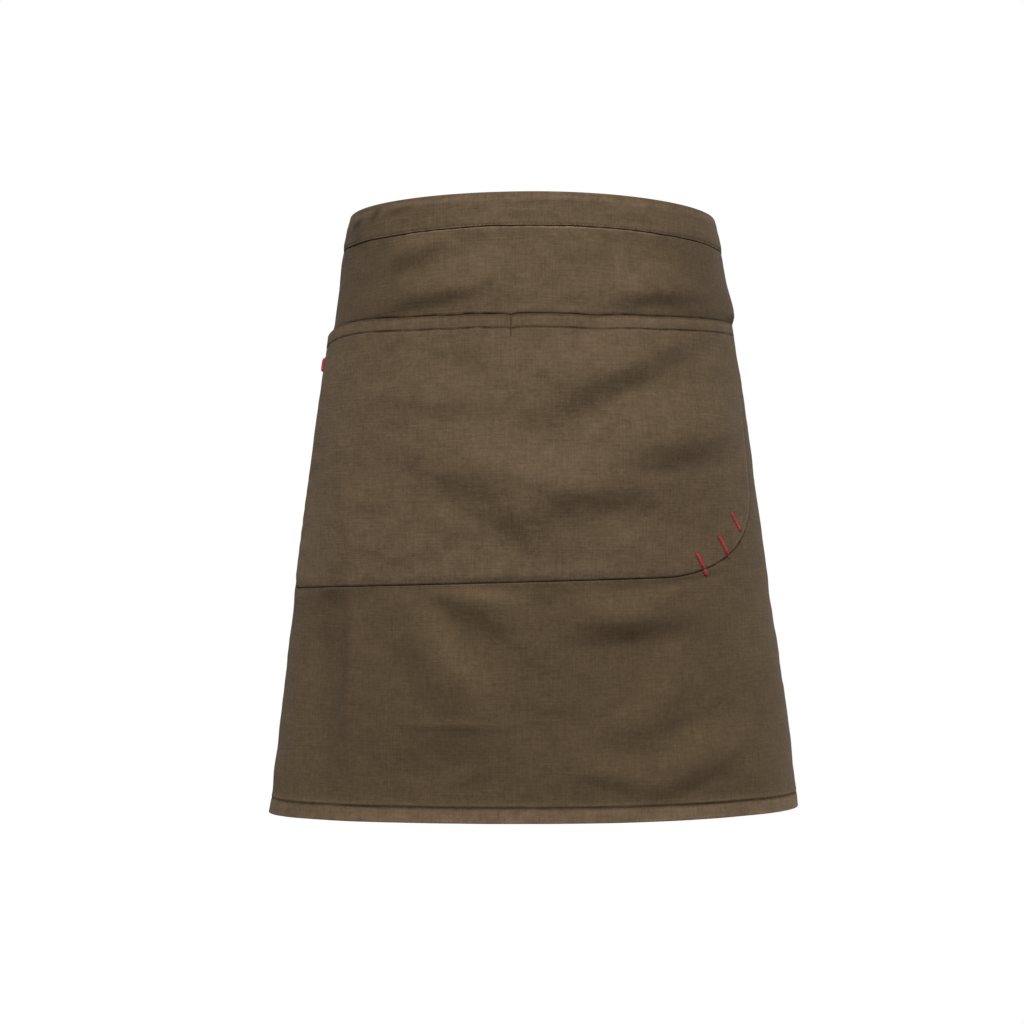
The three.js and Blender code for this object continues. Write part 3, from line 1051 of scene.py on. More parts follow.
def shared_group(
    name: str, inputs: dict[str, str], outputs: dict[str, str]
) -> tuple[NodeBoard, Sockets, Sockets]:
    """New shader node group with named sockets.

    Args:
        name: Name of the group.
        inputs: Kind of each input, by its name.
        outputs: Kind of each output, by its name.

    Returns:
        A board on the group, the sockets that give its inputs and those that take its results.
    """
    tree = bpy.data.node_groups.new(name, "ShaderNodeTree")
    for direction, sockets in (("INPUT", inputs), ("OUTPUT", outputs)):
        for label, kind in sockets.items():
            tree.interface.new_socket(name=label, in_out=direction, socket_type=f"NodeSocket{kind}")
    given = tree.nodes.new("NodeGroupInput").outputs
    return NodeBoard(tree), given, tree.nodes.new("NodeGroupOutput").inputs


class ClothEffects:
    """Shader groups of the cloth's finish."""

    WEAVE = "twill_weave"
    COLOURING = "faded_cloth"
    WARP = (760.0, 48.0, 1.0)
    WEFT = (46.0, 820.0, 1.0)
    FLECK = (760.0, 800.0, 1.0)
    CLOUD = (16.0, 20.0, 1.0)
    PATCH = (85.0, 95.0, 1.0)
    SPECK = (290.0, 330.0, 1.0)
    RIB_SLOPE = 0.8
    RIB_DEPTH = 0.35
    FLECK_SHARE = 0.8
    SPECK_SHARE = 1.6

    @classmethod
    def weave(cls) -> bpy.types.NodeTree:
        """Diagonal twill ribs with uneven warp and weft yarns.

        Returns:
            Group from cloth places, rib spacing and slub strength to a tone about 1 and a height.
        """
        inputs = {"Cloth": "Vector", "Ribs per metre": "Float", "Slub": "Float"}
        board, given, result = shared_group(cls.WEAVE, inputs, {"Tone": "Float", "Height": "Float"})
        warp = board.streaks(given["Cloth"], cls.WARP, 3.0)
        weft = board.streaks(given["Cloth"], cls.WEFT, 3.0)
        fleck = board.streaks(given["Cloth"], cls.FLECK, 1.0)
        parts = board.add("ShaderNodeSeparateXYZ", Vector=given["Cloth"])
        slant = board.math("ADD", parts.outputs[0], board.math("MULTIPLY", parts.outputs[1], cls.RIB_SLOPE))
        phase = board.math("MULTIPLY", board.math("MULTIPLY", slant, given["Ribs per metre"]), 2 * math.pi)
        rib = board.math("MULTIPLY", board.math("SINE", phase), 0.5)
        yarn = board.math("ADD", board.math("SUBTRACT", warp, 0.5), board.math("SUBTRACT", weft, 0.5))
        grain = board.math("MULTIPLY", board.math("SUBTRACT", fleck, 0.5), cls.FLECK_SHARE)
        uneven = board.math("MULTIPLY", board.math("ADD", yarn, grain), given["Slub"])
        board.feed(result["Tone"], board.math("ADD", uneven, 1.0))
        board.feed(result["Height"], board.math("ADD", board.math("MULTIPLY", rib, cls.RIB_DEPTH), yarn))
        return board.tree

    @classmethod
    def colouring(cls) -> bpy.types.NodeTree:
        """Colour of the cloth: large soft mottling, the pale colour of wear and painted light, and the deep
        colour of painted shade.

        Returns:
            Group from cloth places, colours and masks to a colour.
        """
        inputs = {"Cloth": "Vector", "Body": "Color", "Pale": "Color", "Deep": "Color"}
        inputs |= dict.fromkeys(("Tone", "Worn", "Seam", "Mottle"), "Float")
        board, given, result = shared_group(cls.COLOURING, inputs, {"Colour": "Color"})
        cloud = board.streaks(given["Cloth"], cls.CLOUD, 4.0)
        patch = board.streaks(given["Cloth"], cls.PATCH, 2.0)
        speck = board.streaks(given["Cloth"], cls.SPECK, 2.0)
        fine = board.math("MULTIPLY", board.math("SUBTRACT", speck, 0.5), cls.SPECK_SHARE)
        swing = board.math("ADD", board.math("SUBTRACT", cloud, 0.5), board.math("SUBTRACT", patch, 0.5))
        swing = board.math("ADD", swing, fine)
        mottle = board.math("ADD", board.math("MULTIPLY", swing, given["Mottle"]), 1.0)
        # The Worn mask lays on the pale colour, for wear and for painted light
        paleness = board.math("MULTIPLY", given["Worn"], board.math("ADD", patch, 0.5))
        body = board.mix(paleness, given["Body"], given["Pale"])
        # The Seam mask lays on the deep colour as painted shade
        body = board.mix(given["Seam"], body, given["Deep"])
        shade = board.math("MULTIPLY", mottle, given["Tone"])
        grey = board.add("ShaderNodeCombineXYZ", X=shade, Y=shade, Z=shade)
        board.feed(result["Colour"], board.mix(1.0, body, grey.outputs[0], "MULTIPLY"))
        return board.tree


@dataclass(frozen=True)
class TwillFinish:
    """Matt brown cotton twill, with wear, painted light and painted shade laid into its colour."""

    name: str = "brown_twill"
    body: Colour = (0.1014, 0.0690, 0.0392)
    # Colour of worn cloth, also laid on as painted light
    pale: Colour = (0.207, 0.1426, 0.0900)
    # Colour laid on as painted shade
    deep: Colour = (0.0150, 0.0066, 0.0022)
    ribs: float = 1250.0
    slub: float = 0.42
    mottle: float = 0.31
    # Strength of the painted light on the front and on the pocket
    painted_paleness: float = 0.22
    roughness: float = 0.88
    gloss: float = 0.06
    sheen: float = 0.06
    sheen_roughness: float = 0.5
    sheen_tint: Colour = (1.0, 0.9, 0.78)
    bump: float = 0.45
    bump_depth: float = 0.4
    # Painted shadow of a vertical fold in a strip down the left, and painted shade at the yoke's sides
    fold_shadow_depth: float = 0.22
    fold_shadow_left: float = -186.0
    fold_shadow_right: float = -140.0
    fold_shadow_top: float = 185.0
    fold_shadow_foot: float = 452.0
    side_shade_depth: float = 0.094
    shade_blotch: Crumple = Crumple(seed=97, cell_s=20, cell_t=38)

    def paleness(self, s: Array) -> Array:
        """Painted light above the pocket, palest in the middle of the front."""
        return self.painted_paleness * (1 - ease((np.abs(s - 14) - 30) / 105))

    def painted_fold_and_side_shade(self, s: Array, t: Array) -> Array:
        """Painted shade: a vertical fold's shadow in a strip down the left, and shade at the yoke's two
        sides.

        Args:
            s: Places along the waist.
            t: Levels below the top edge.

        Returns:
            A share from 0 to 1 for each place.
        """
        edge = self.fold_shadow_right - 9 * ((t - 360) / 150) ** 2 + 3 * self.shade_blotch.sample(s + 60, t)
        across = ease((s - self.fold_shadow_left) / 26) * ease((edge - s) / 10)
        down = ease((t - self.fold_shadow_top) / 70) * ease((self.fold_shadow_foot - t) / 30)
        strip = self.fold_shadow_depth * across * down * (0.75 + 0.5 * self.shade_blotch.sample(s, t))
        sides = ease((np.abs(s - 8) - 80) / 70) + 0.9 * ease((s - 55) / 60)
        return np.clip(strip + self.side_shade_depth * sides * ease((92 - t) / 8), 0, 1)

    def material(self) -> bpy.types.Material:
        """Builds the finish, or gives it back where it is built already.

        Returns:
            The material.
        """
        found = bpy.data.materials.get(self.name)
        if found:
            return found
        material, board, shader = new_finish(self.name)
        places = board.add("ShaderNodeUVMap").outputs[0]
        weave = board.add("ShaderNodeGroup")
        weave.node_tree = ClothEffects.weave()
        board.fill(weave, Cloth=places, Ribs_per_metre=self.ribs, Slub=self.slub)
        # worn carries wear and painted light, seam carries painted shade
        masks = {}
        for label in ("worn", "seam"):
            mask = board.add("ShaderNodeAttribute")
            mask.attribute_name = label
            masks[label.capitalize()] = mask.outputs["Fac"]
        colouring = board.add("ShaderNodeGroup")
        colouring.node_tree = ClothEffects.colouring()
        board.fill(colouring, Cloth=places, Tone=weave.outputs["Tone"], Mottle=self.mottle, **masks)
        board.fill(colouring, Body=rgba(self.body), Pale=rgba(self.pale), Deep=rgba(self.deep))
        bump = board.add("ShaderNodeBump", Strength=self.bump, Distance=self.bump_depth * MM)
        board.fill(bump, Height=weave.outputs["Height"])
        board.fill(shader, Base_Color=colouring.outputs["Colour"], Normal=bump.outputs[0])
        board.fill(shader, Roughness=self.roughness, Specular_IOR_Level=self.gloss, Sheen_Weight=self.sheen)
        board.fill(shader, Sheen_Roughness=self.sheen_roughness, Sheen_Tint=rgba(self.sheen_tint))
        return material


@dataclass(frozen=True)
class ThreadFinish:
    """Twisted sewing thread, its colour uneven along its length."""

    name: str
    light: Colour
    dark: Colour
    sheen: float
    roughness: float
    gloss: float = 0.35
    sheen_roughness: float = 0.4
    fibres: Triple = (2600.0, 2600.0, 900.0)
    stretches: Triple = (420.0, 420.0, 420.0)
    bump: float = 0.5
    bump_depth: float = 0.15

    def material(self) -> bpy.types.Material:
        """Builds the finish, or gives it back where it is built already.

        Returns:
            The material.
        """
        found = bpy.data.materials.get(self.name)
        if found:
            return found
        material, board, shader = new_finish(self.name)
        places = board.add("ShaderNodeTexCoord").outputs["Object"]
        fibre = board.streaks(places, self.fibres, 2.0)
        stretch = board.streaks(places, self.stretches, 2.0)
        share = board.math("MULTIPLY", board.math("ADD", fibre, stretch), 0.5)
        colour = board.mix(share, rgba(self.dark), rgba(self.light))
        bump = board.add("ShaderNodeBump", Height=fibre, Strength=self.bump, Distance=self.bump_depth * MM)
        board.fill(shader, Base_Color=colour, Normal=bump.outputs[0])
        board.fill(shader, Roughness=self.roughness, Specular_IOR_Level=self.gloss)
        board.fill(shader, Sheen_Weight=self.sheen, Sheen_Roughness=self.sheen_roughness)
        return material


BROWN_THREAD = ThreadFinish(
    "brown_thread", light=(0.086, 0.049, 0.025), dark=(0.038, 0.019, 0.008), sheen=0.1, roughness=0.75
)
FADED_THREAD = ThreadFinish(
    "faded_thread", light=(0.096, 0.060, 0.031), dark=(0.050, 0.029, 0.014), sheen=0.0, roughness=0.9
)
RED_THREAD = ThreadFinish(
    "red_thread", light=(0.62, 0.10, 0.09), dark=(0.24, 0.028, 0.026), sheen=0.25, roughness=0.55
)
# Dark red of the painted contact shadow round each bar tack
RED_TACK_SHADOW = ThreadFinish(
    "sunk_red_thread", light=(0.17, 0.048, 0.036), dark=(0.085, 0.025, 0.018), sheen=0.0, roughness=0.85
)


def present(piece: Piece, material: bpy.types.Material, slot: Slot, nodes: Sequence[str] = ()) -> None:
    """Gives a piece its finish and its place in the frame, and reports it.

    Args:
        piece: The piece.
        material: Its finish.
        slot: Material slot of the record that it belongs to; not used.
        nodes: Solids that it stands for.
    """
    piece.data.materials.clear()
    piece.data.materials.append(material)
    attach(piece, "root")
    if nodes:
        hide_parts(*nodes)
    LOG.info("%s: %d faces, %s", piece.name, len(piece.data.polygons), material.name)


@dataclass
class ApronParts:
    """What every sub-assembly of the apron works from."""

    sizes: ApronSizes
    form: WornForm
    relief: ApronRelief
    twill: TwillFinish = field(default_factory=TwillFinish)
    stitch: SeamStitch = field(default_factory=SeamStitch)

    @cached_property
    def stitch_shape(self) -> Shape:
        """Points and faces of one stitch, modelled once."""
        return self.stitch.shape()

    def sew(self, name: str, paths: Sequence[SeamPath], thread: ThreadFinish = BROWN_THREAD) -> Piece:
        """Makes and dresses the stitches of a seam.

        Args:
            name: Name of the piece.
            paths: Lines that it follows.
            thread: Finish of the thread.

        Returns:
            The piece.
        """
        runs = [path.stitches(self.stitch) for path in paths]
        centres = np.concatenate([run[0] for run in runs])
        axes = np.concatenate([run[1] for run in runs])
        scales = np.ones((len(centres), 3))
        draw = np.random.default_rng(self.stitch.seed).uniform(-1, 1, len(centres))
        scales[:, 0] *= 1 + self.stitch.unevenness * draw
        piece = joined_copies(name, self.stitch_shape, centres, axes, scales)
        present(piece, thread.material(), Slot.BROWN_THREAD)
        return piece


@dataclass
class ApronPiece:
    """Sub-assembly of the apron."""

    parts: ApronParts

    def __post_init__(self) -> None:
        """Keeps short names for what the parts hold."""
        self.sizes = self.parts.sizes
        self.form = self.parts.form
        self.relief = self.parts.relief
        self.twill = self.parts.twill


@dataclass
class SkirtPanel(ApronPiece):
    """Flared panel: one sheet with a folded hem at the bottom and at both sides."""

    step: float = 2.9
    roll: float = 0.95
    groove: float = 0.3
    ridge: float = 0.3
    fold_step: float = 0.6
    covered_inset: float = 10.0
    stitch_sink: float = 0.12
    behind_inset: float = 0.6
    # Paleness of the hem band (edge wear and painted light), painted highlight above its stitches, edge wear,
    # and painted light under the waist seam
    pale_hem: float = 0.48
    ridge_highlight: float = 0.3
    pale_edge: float = 0.5
    crack_light: float = 1.3
    # Strengths of painted shade round the pocket, over its mouth, under the waist seam and in the hem's
    # groove
    pocket_edge_shade: float = 0.85
    mouth_shade: float = 1.9
    waist_shade: float = 0.55
    waist_end_shade: float = 0.6
    hem_groove_shade: float = 0.64
    hem_groove_side_shade: float = 0.42
    hem_groove_shade_behind: float = 0.5
    hem_line_half: float = 0.75
    fine_columns: tuple[float, ...] = (0, 0.25, 0.6, 1.0, 2.4, 5, 8.6, 9.7, 10.3)
    fine_width: float = 12.0

    def columns(self) -> Array:
        """Places of the grid's columns, closer at the side hems."""
        return edged_ladder(self.sizes.left, self.sizes.right, self.step, self.fine_columns, self.fine_width)

    def rows(self) -> Array:
        """Levels of the grid's rows, closer at the seams, from the top down.

        Returns:
            Levels below the top edge.
        """
        sizes = self.sizes
        line = sizes.hem_line
        return ladder(
            sizes.cloth + sizes.gap,
            (sizes.band_height - 1, 6),
            (sizes.band_height + 3, 0.45),
            (sizes.band_height + 5, 1),
            (sizes.mouth - 6, 2.8),
            (sizes.mouth + 3, 0.5),
            (sizes.pocket_bottom - 8, 6),
            (sizes.pocket_bottom - 1.2, 1.7),
            (sizes.pocket_bottom + 3, 0.42),
            (sizes.pocket_bottom + 9, 1.5),
            (line - 3, 2.8),
            (line + 2.4, 0.45),
            (sizes.length - 2, 1.6),
            (sizes.length - 1, 0.5),
            (sizes.length, 0.25),
        )

    def from_side(self, s: Array) -> Array:
        """Distance inside the nearer side edge."""
        return np.minimum(s - self.sizes.left, self.sizes.right - s)

    def beside_foot(self, s: Array, level: Array) -> Array:
        """Levels of the rows at each column, turned so that the closer ones follow the pocket's foot."""
        near = ease((level - self.sizes.mouth - 5) / 120) * ease((self.sizes.hem_line - 10 - level) / 100)
        return level + (self.relief.pocket_base(s) - self.sizes.pocket_bottom) * near

    def free_edge(self, s: Array, t: Array) -> Array:
        """Distance inside the nearest free edge: a side hem or the bottom fold."""
        sides = self.from_side(s) + self.covered_inset * (t < self.sizes.band_height + 0.5)
        return np.minimum(sides, self.sizes.length - t)

    def thickness(self, s: Array, t: Array) -> Array:
        """One layer of cloth, or two where an edge is folded back.

        Args:
            s: Places along the waist.
            t: Levels below the top edge.

        Returns:
            A thickness in millimetres for each place.
        """
        sizes = self.sizes
        bottom = ease((t - sizes.hem_line) / self.fold_step + 1)
        side = ease((sizes.side_hem - self.from_side(s)) / self.fold_step)
        side = side * ease((t - sizes.band_height - 0.6) / 0.8)
        return sizes.cloth * (1 + np.maximum(bottom, side))

    def stitched_face(self, s: Array, t: Array) -> Array:
        """Outer face with the groove that the hem's stitches draw.

        Args:
            s: Places along the waist.
            t: Levels below the top edge.

        Returns:
            A distance off the worn form for each place.
        """
        away = t - self.sizes.hem_line
        ridge = self.ridge * line_mark(away + 2.2, 1.2)
        return self.relief.panel_face(s, t) + ridge - self.groove * line_mark(away, 0.7)

    def worn(self, s: Array, t: Array) -> Array:
        """Paler hem band, partly edge wear and partly painted light, a painted highlight above the hem's
        stitches, paler folded edges, painted light in the crack under the waist seam and painted light above
        the pocket.

        Args:
            s: Places along the waist.
            t: Levels below the top edge.

        Returns:
            A share from 0 to 1 for each place.
        """
        away = t - self.sizes.hem_line
        # Paler hem band: partly edge wear, partly painted light
        hem = self.pale_hem * ease((away - 0.5) / 2) * (1 - 0.6 * ease((-s - 95) / 85))
        # Painted highlight on the ridge above the hem's stitches
        hem = hem + self.ridge_highlight * line_mark(away + 1.8, 0.9)
        edge = self.pale_edge * np.exp(-beyond(self.free_edge(s, t)) / 1.4)
        # Painted light above the pocket
        painted_light = self.twill.paleness(s) * ease((self.sizes.mouth + 20 - t) / 20)
        # Painted light in the crack under the waist seam, in the middle of the front
        under_band = beyond(t - self.relief.band_foot(s))
        waist = self.crack_light * (1 - self.relief.sideways(s)) * np.exp(-under_band / 1.1)
        return np.clip(hem + edge + painted_light + waist * self.relief.seam_tone(s + 90, t), 0, 1)

    def seam(self, s: Array, t: Array) -> Array:
        """Painted shade under the waist seam, round the pocket, over its mouth and in the hem's stitched
        groove, with the painted fold shadow and side shade.

        Args:
            s: Places along the waist.
            t: Levels below the top edge.

        Returns:
            A share from 0 to 1 for each place.
        """
        sizes = self.sizes
        inside = self.relief.inside_pocket(s, t)
        sideways = self.relief.sideways(s)
        # Painted shade round the pocket's edge
        fading = (1 - 0.75 * ease((s - 125) / 45)) * (0.1 + 0.9 * np.maximum(sideways, ease((s - 30) / 40)))
        round_pocket = self.pocket_edge_shade * fading * np.exp(-beyond(-inside) / 0.95) * (t > sizes.mouth - 2)
        # Painted shade of the gap over the pocket's mouth
        above_mouth = self.relief.mouth_level(s) - t
        reach = 1.25 + 0.4 * (1 - lobe(s / 60))
        over_mouth = self.mouth_shade * line_mark(beyond(above_mouth), reach)
        over_mouth = over_mouth * ((inside > -1) & (above_mouth > -4))
        # Painted shade under the waist seam
        left_end = ease((-s - 95) / 40)
        under_band = beyond(t - self.relief.band_foot(s))
        waist = self.waist_shade * sideways + self.waist_end_shade * left_end
        waist = waist * np.exp(-under_band / (0.6 + left_end))
        # Painted shade in the hem's stitched groove
        hem = self.hem_groove_shade + self.hem_groove_side_shade * sideways
        hem = hem * line_mark(t - sizes.hem_line, self.hem_line_half)
        strongest = np.maximum.reduce([round_pocket, over_mouth, waist, hem]) * self.relief.seam_tone(s, t)
        return np.clip(np.maximum(strongest, self.twill.painted_fold_and_side_shade(s, t)), 0, 1)

    def seam_behind(self, s: Array, t: Array) -> Array:
        """Painted shade on the inner face, in the hem's stitched groove only."""
        line = line_mark(t - self.sizes.hem_line, self.hem_line_half)
        return self.hem_groove_shade_behind * line * self.relief.seam_tone(s, t)

    def sunk_face(self, s: Array, t: Array) -> Array:
        """Outer face where the stitches are drawn into it."""
        return self.stitched_face(s, t) - self.stitch_sink

    def lining(self, s: Array, t: Array) -> Array:
        """Inner face of the sheet, with its hems."""
        return self.relief.panel_face(s, t) - self.thickness(s, t)

    def build(self) -> Piece:
        """Builds the sheet.

        Returns:
            The panel.
        """
        s, level = np.meshgrid(self.columns(), self.rows()[::-1])
        t = self.beside_foot(s, level)
        face = self.relief.panel_face(s, t)
        back = edge_roll(self.free_edge(s, t), self.roll)
        outer = self.form.place(s, t, self.stitched_face(s, t) - back)
        single = self.thickness(s, t) < 1.5 * self.sizes.cloth
        inner = self.form.place(s, t, face - self.thickness(s, t) + np.where(single, 0.0, back))
        cloth = np.stack([s, -t], axis=-1) * MM
        behind = self.seam_behind(s, t)
        return SheetGrid("panel_cloth", outer, inner, cloth, self.worn(s, t), self.seam(s, t), behind).build()

    def seams(self) -> list[Piece]:
        """Sews the hem and the two side hems.

        Returns:
            The stitch pieces.
        """
        sizes = self.sizes
        inset = self.behind_inset
        s = np.linspace(sizes.left + 1, sizes.right - 1, 900)
        hem = SeamPath.on_face(self.form, s, np.full_like(s, sizes.hem_line), self.sunk_face)
        hem_behind = SeamPath.on_face(self.form, s, np.full_like(s, sizes.hem_line + inset), self.lining)
        t = np.linspace(sizes.band_height + 2, sizes.hem_line - 1, 500)
        sides = []
        for side, edge in ((Side.LEFT, sizes.left), (Side.RIGHT, sizes.right)):
            place = edge - side.value * (sizes.side_hem - 1)
            sides.append(SeamPath.on_face(self.form, np.full_like(t, place), t, self.sunk_face))
            behind = np.full_like(t, place + side.value * inset)
            sides.append(SeamPath.on_face(self.form, behind, t, self.lining).turned())
        hems = self.parts.sew("hem_stitches", [hem, hem_behind.turned()])
        return [hems, self.parts.sew("side_hem_stitches", sides)]

    def dress(self, piece: Piece, stitches: Sequence[Piece]) -> None:
        """Args:
            piece: The panel.
            stitches: The stitches on it; not used.
        """
        present(piece, self.twill.material(), Slot.TWILL, ["skirt_panel"])


@dataclass
class Waistband(ApronPiece):
    """Strip folded in half over the panel's top edge and the ends of the ties."""

    step: float = 2.8
    groove: float = 0.3
    roll: float = 0.7
    stitch_inset: float = 1.1
    stitch_sink: float = 0.1
    cut_spare: float = 4.0
    cloth_shift: float = 7.3
    pale_edge: float = 0.5
    pale_fold: float = 0.3
    # Strengths of painted shade in the stitched groove, along the top fold, over the left end and in its
    # creases
    stitch_line_shade: float = 0.34
    fold_shade: float = 0.38
    end_shade: float = 0.34
    crease_shade: float = 0.75
    fine_columns: tuple[float, ...] = (0, 0.25, 0.6, 1.2)
    fine_width: float = 3.0
    gather: Pucker = Pucker(seed=83, pitch=10.5, height=0.32, reach=7)
    uneven: Crumple = Crumple(seed=91, cell_s=22, cell_t=5)

    def columns(self) -> Array:
        """Places of the grid's columns, closer at the two ends."""
        start, end = self.sizes.band_left, self.sizes.band_right
        return edged_ladder(start, end, self.step, self.fine_columns, self.fine_width)

    def profile(self) -> tuple[Array, Array, Array, Array]:
        """Section of the folded strip, from the outer wall's lower edge over the fold to the inner one's.

        Returns:
            Distance outwards and level of the outer face, then of the inner face.
        """
        sizes = self.sizes
        wall = sizes.gap + sizes.cloth
        radius = (sizes.slot + 2 * sizes.cloth) / 2
        middle = sizes.slot_middle
        down = ladder(radius, (4, 0.9), (20, 1.6), (sizes.band_height - 1, 0.6), (sizes.band_height, 0.25))
        turn = np.linspace(0, np.pi, 11)[1:-1]
        small = radius - sizes.cloth
        flat = np.ones(len(down))
        out = np.concatenate([flat * wall, middle + radius * np.cos(turn), flat * (wall - 2 * radius)])
        level = np.concatenate([down[::-1], radius - radius * np.sin(turn), down])
        in_out = middle + small * np.concatenate([flat, np.cos(turn), -flat])
        in_level = np.concatenate([down[::-1], radius - small * np.sin(turn), down])
        return out, level, in_out, in_level

    def outer_wall(self, s: Array, t: Array) -> Array:
        """Outer face of the band's front wall with its gathers and the groove along its stitches.

        Args:
            s: Places along the waist.
            t: Levels below the top edge.

        Returns:
            A distance off the worn form for each place.
        """
        away = t - (self.sizes.band_height - self.stitch_inset)
        soft = ease(t / 6)
        ripple = self.gather.sample(s + 0 * t, away) + 0.3 * self.uneven.sample(s, t) * soft
        ripple = ripple + fold_rise(BAND_CREASES, s, t)
        return self.sizes.gap + self.sizes.cloth + ripple * soft - self.groove * line_mark(away, 0.8)

    def worn(self, s: Array, t: Array) -> Array:
        """Paler cloth under the fold and along the lower edge, and painted light in the middle.

        Args:
            s: Places along the waist.
            t: Levels below the top edge.

        Returns:
            A share from 0 to 1 for each place.
        """
        edge = self.pale_edge - 0.25 * self.relief.sideways(s)
        edge = edge * np.exp(-(self.sizes.band_height - t))
        return np.clip(self.twill.paleness(s) + self.pale_fold * line_mark(t - 4.5, 2.2) + edge, 0, 1)

    def seam(self, s: Array, t: Array, front: Array) -> Array:
        """Painted shade in the stitched groove, along the top fold, over the left end and in its creases.

        Args:
            s: Places along the waist.
            t: Levels below the top edge.
            front: Whether each place is on the front wall.

        Returns:
            A share for each place.
        """
        line = self.stitch_line_shade * line_mark(t - self.sizes.band_height + self.stitch_inset, 0.7)
        line = line * self.relief.seam_tone(s, t) * (0.4 + 0.6 * self.relief.sideways(s))
        # Painted shade along the top fold
        fold = self.fold_shade * line_mark(t, 1.2)
        # Painted shade over the left end and in its creases
        end = self.end_shade * ease((-s - 105) / 60) * (0.7 + 0.5 * self.uneven.sample(s, t))
        end = end - self.crease_shade * fold_rise(BAND_CREASES, s, t) * front
        return np.maximum.reduce([line, fold, end])

    def build(self) -> Piece:
        """Builds the folded strip.

        Returns:
            The band.
        """
        out, level, in_out, in_level = self.profile()
        s, out = np.meshgrid(self.columns(), out)
        t = np.broadcast_to(level[:, None], s.shape)
        front = out > self.sizes.slot_middle
        wall = self.sizes.gap + self.sizes.cloth
        ripple = np.where(np.isclose(out, wall), self.outer_wall(s, t) - wall, 0.0)
        ends = np.minimum(s - s.min(), s.max() - s)
        back = edge_roll(np.minimum(self.sizes.band_height - t, ends), self.roll)
        stray = (self.relief.band_foot(s) - self.sizes.band_height) * front
        outer = self.form.place(s, t + stray * ease(t / 20), out + ripple - np.where(front, back, -back))
        inner_t = np.broadcast_to(in_level[:, None], s.shape)
        inner_out = in_out[:, None] + 0.6 * np.minimum(ripple, 0.0)
        inner = self.form.place(s, inner_t + stray * ease(inner_t / 20), inner_out)
        along = np.concatenate([[0], np.cumsum(np.hypot(np.diff(out[:, 0]), np.diff(level)))])
        cloth = np.stack([s, np.broadcast_to(along[:, None], s.shape) + self.cloth_shift], axis=-1) * MM
        return SheetGrid("band_cloth", outer, inner, cloth, self.worn(s, t), self.seam(s, t, front)).build()

    def sunk_wall(self, s: Array, t: Array) -> Array:
        """Front wall where the stitches are drawn into it."""
        return self.outer_wall(s, t) - self.stitch_sink

    def inner_wall(self, s: Array, t: Array) -> Array:
        """Inner face of the band's back wall."""
        return self.sizes.gap - self.sizes.slot - self.sizes.cloth + 0 * s

    def seams(self) -> list[Piece]:
        """Sews the band's lower edge, through both walls.

        Returns:
            The stitch pieces.
        """
        line = self.sizes.band_height - self.stitch_inset
        s = np.linspace(self.sizes.band_left + 2, self.sizes.band_right - 2, 900)
        below = self.relief.band_foot(s) - self.stitch_inset
        front = SeamPath.on_face(self.form, s, below, self.sunk_wall)
        behind = SeamPath.on_face(self.form, s, np.full_like(s, line), self.inner_wall)
        return [self.parts.sew("waist_stitches", [front, behind.turned()], FADED_THREAD)]

    def dress(self, piece: Piece, stitches: Sequence[Piece]) -> None:
        """Args:
            piece: The band.
            stitches: The stitches on it; not used.
        """
        present(piece, self.twill.material(), Slot.TWILL, ["waistband"])


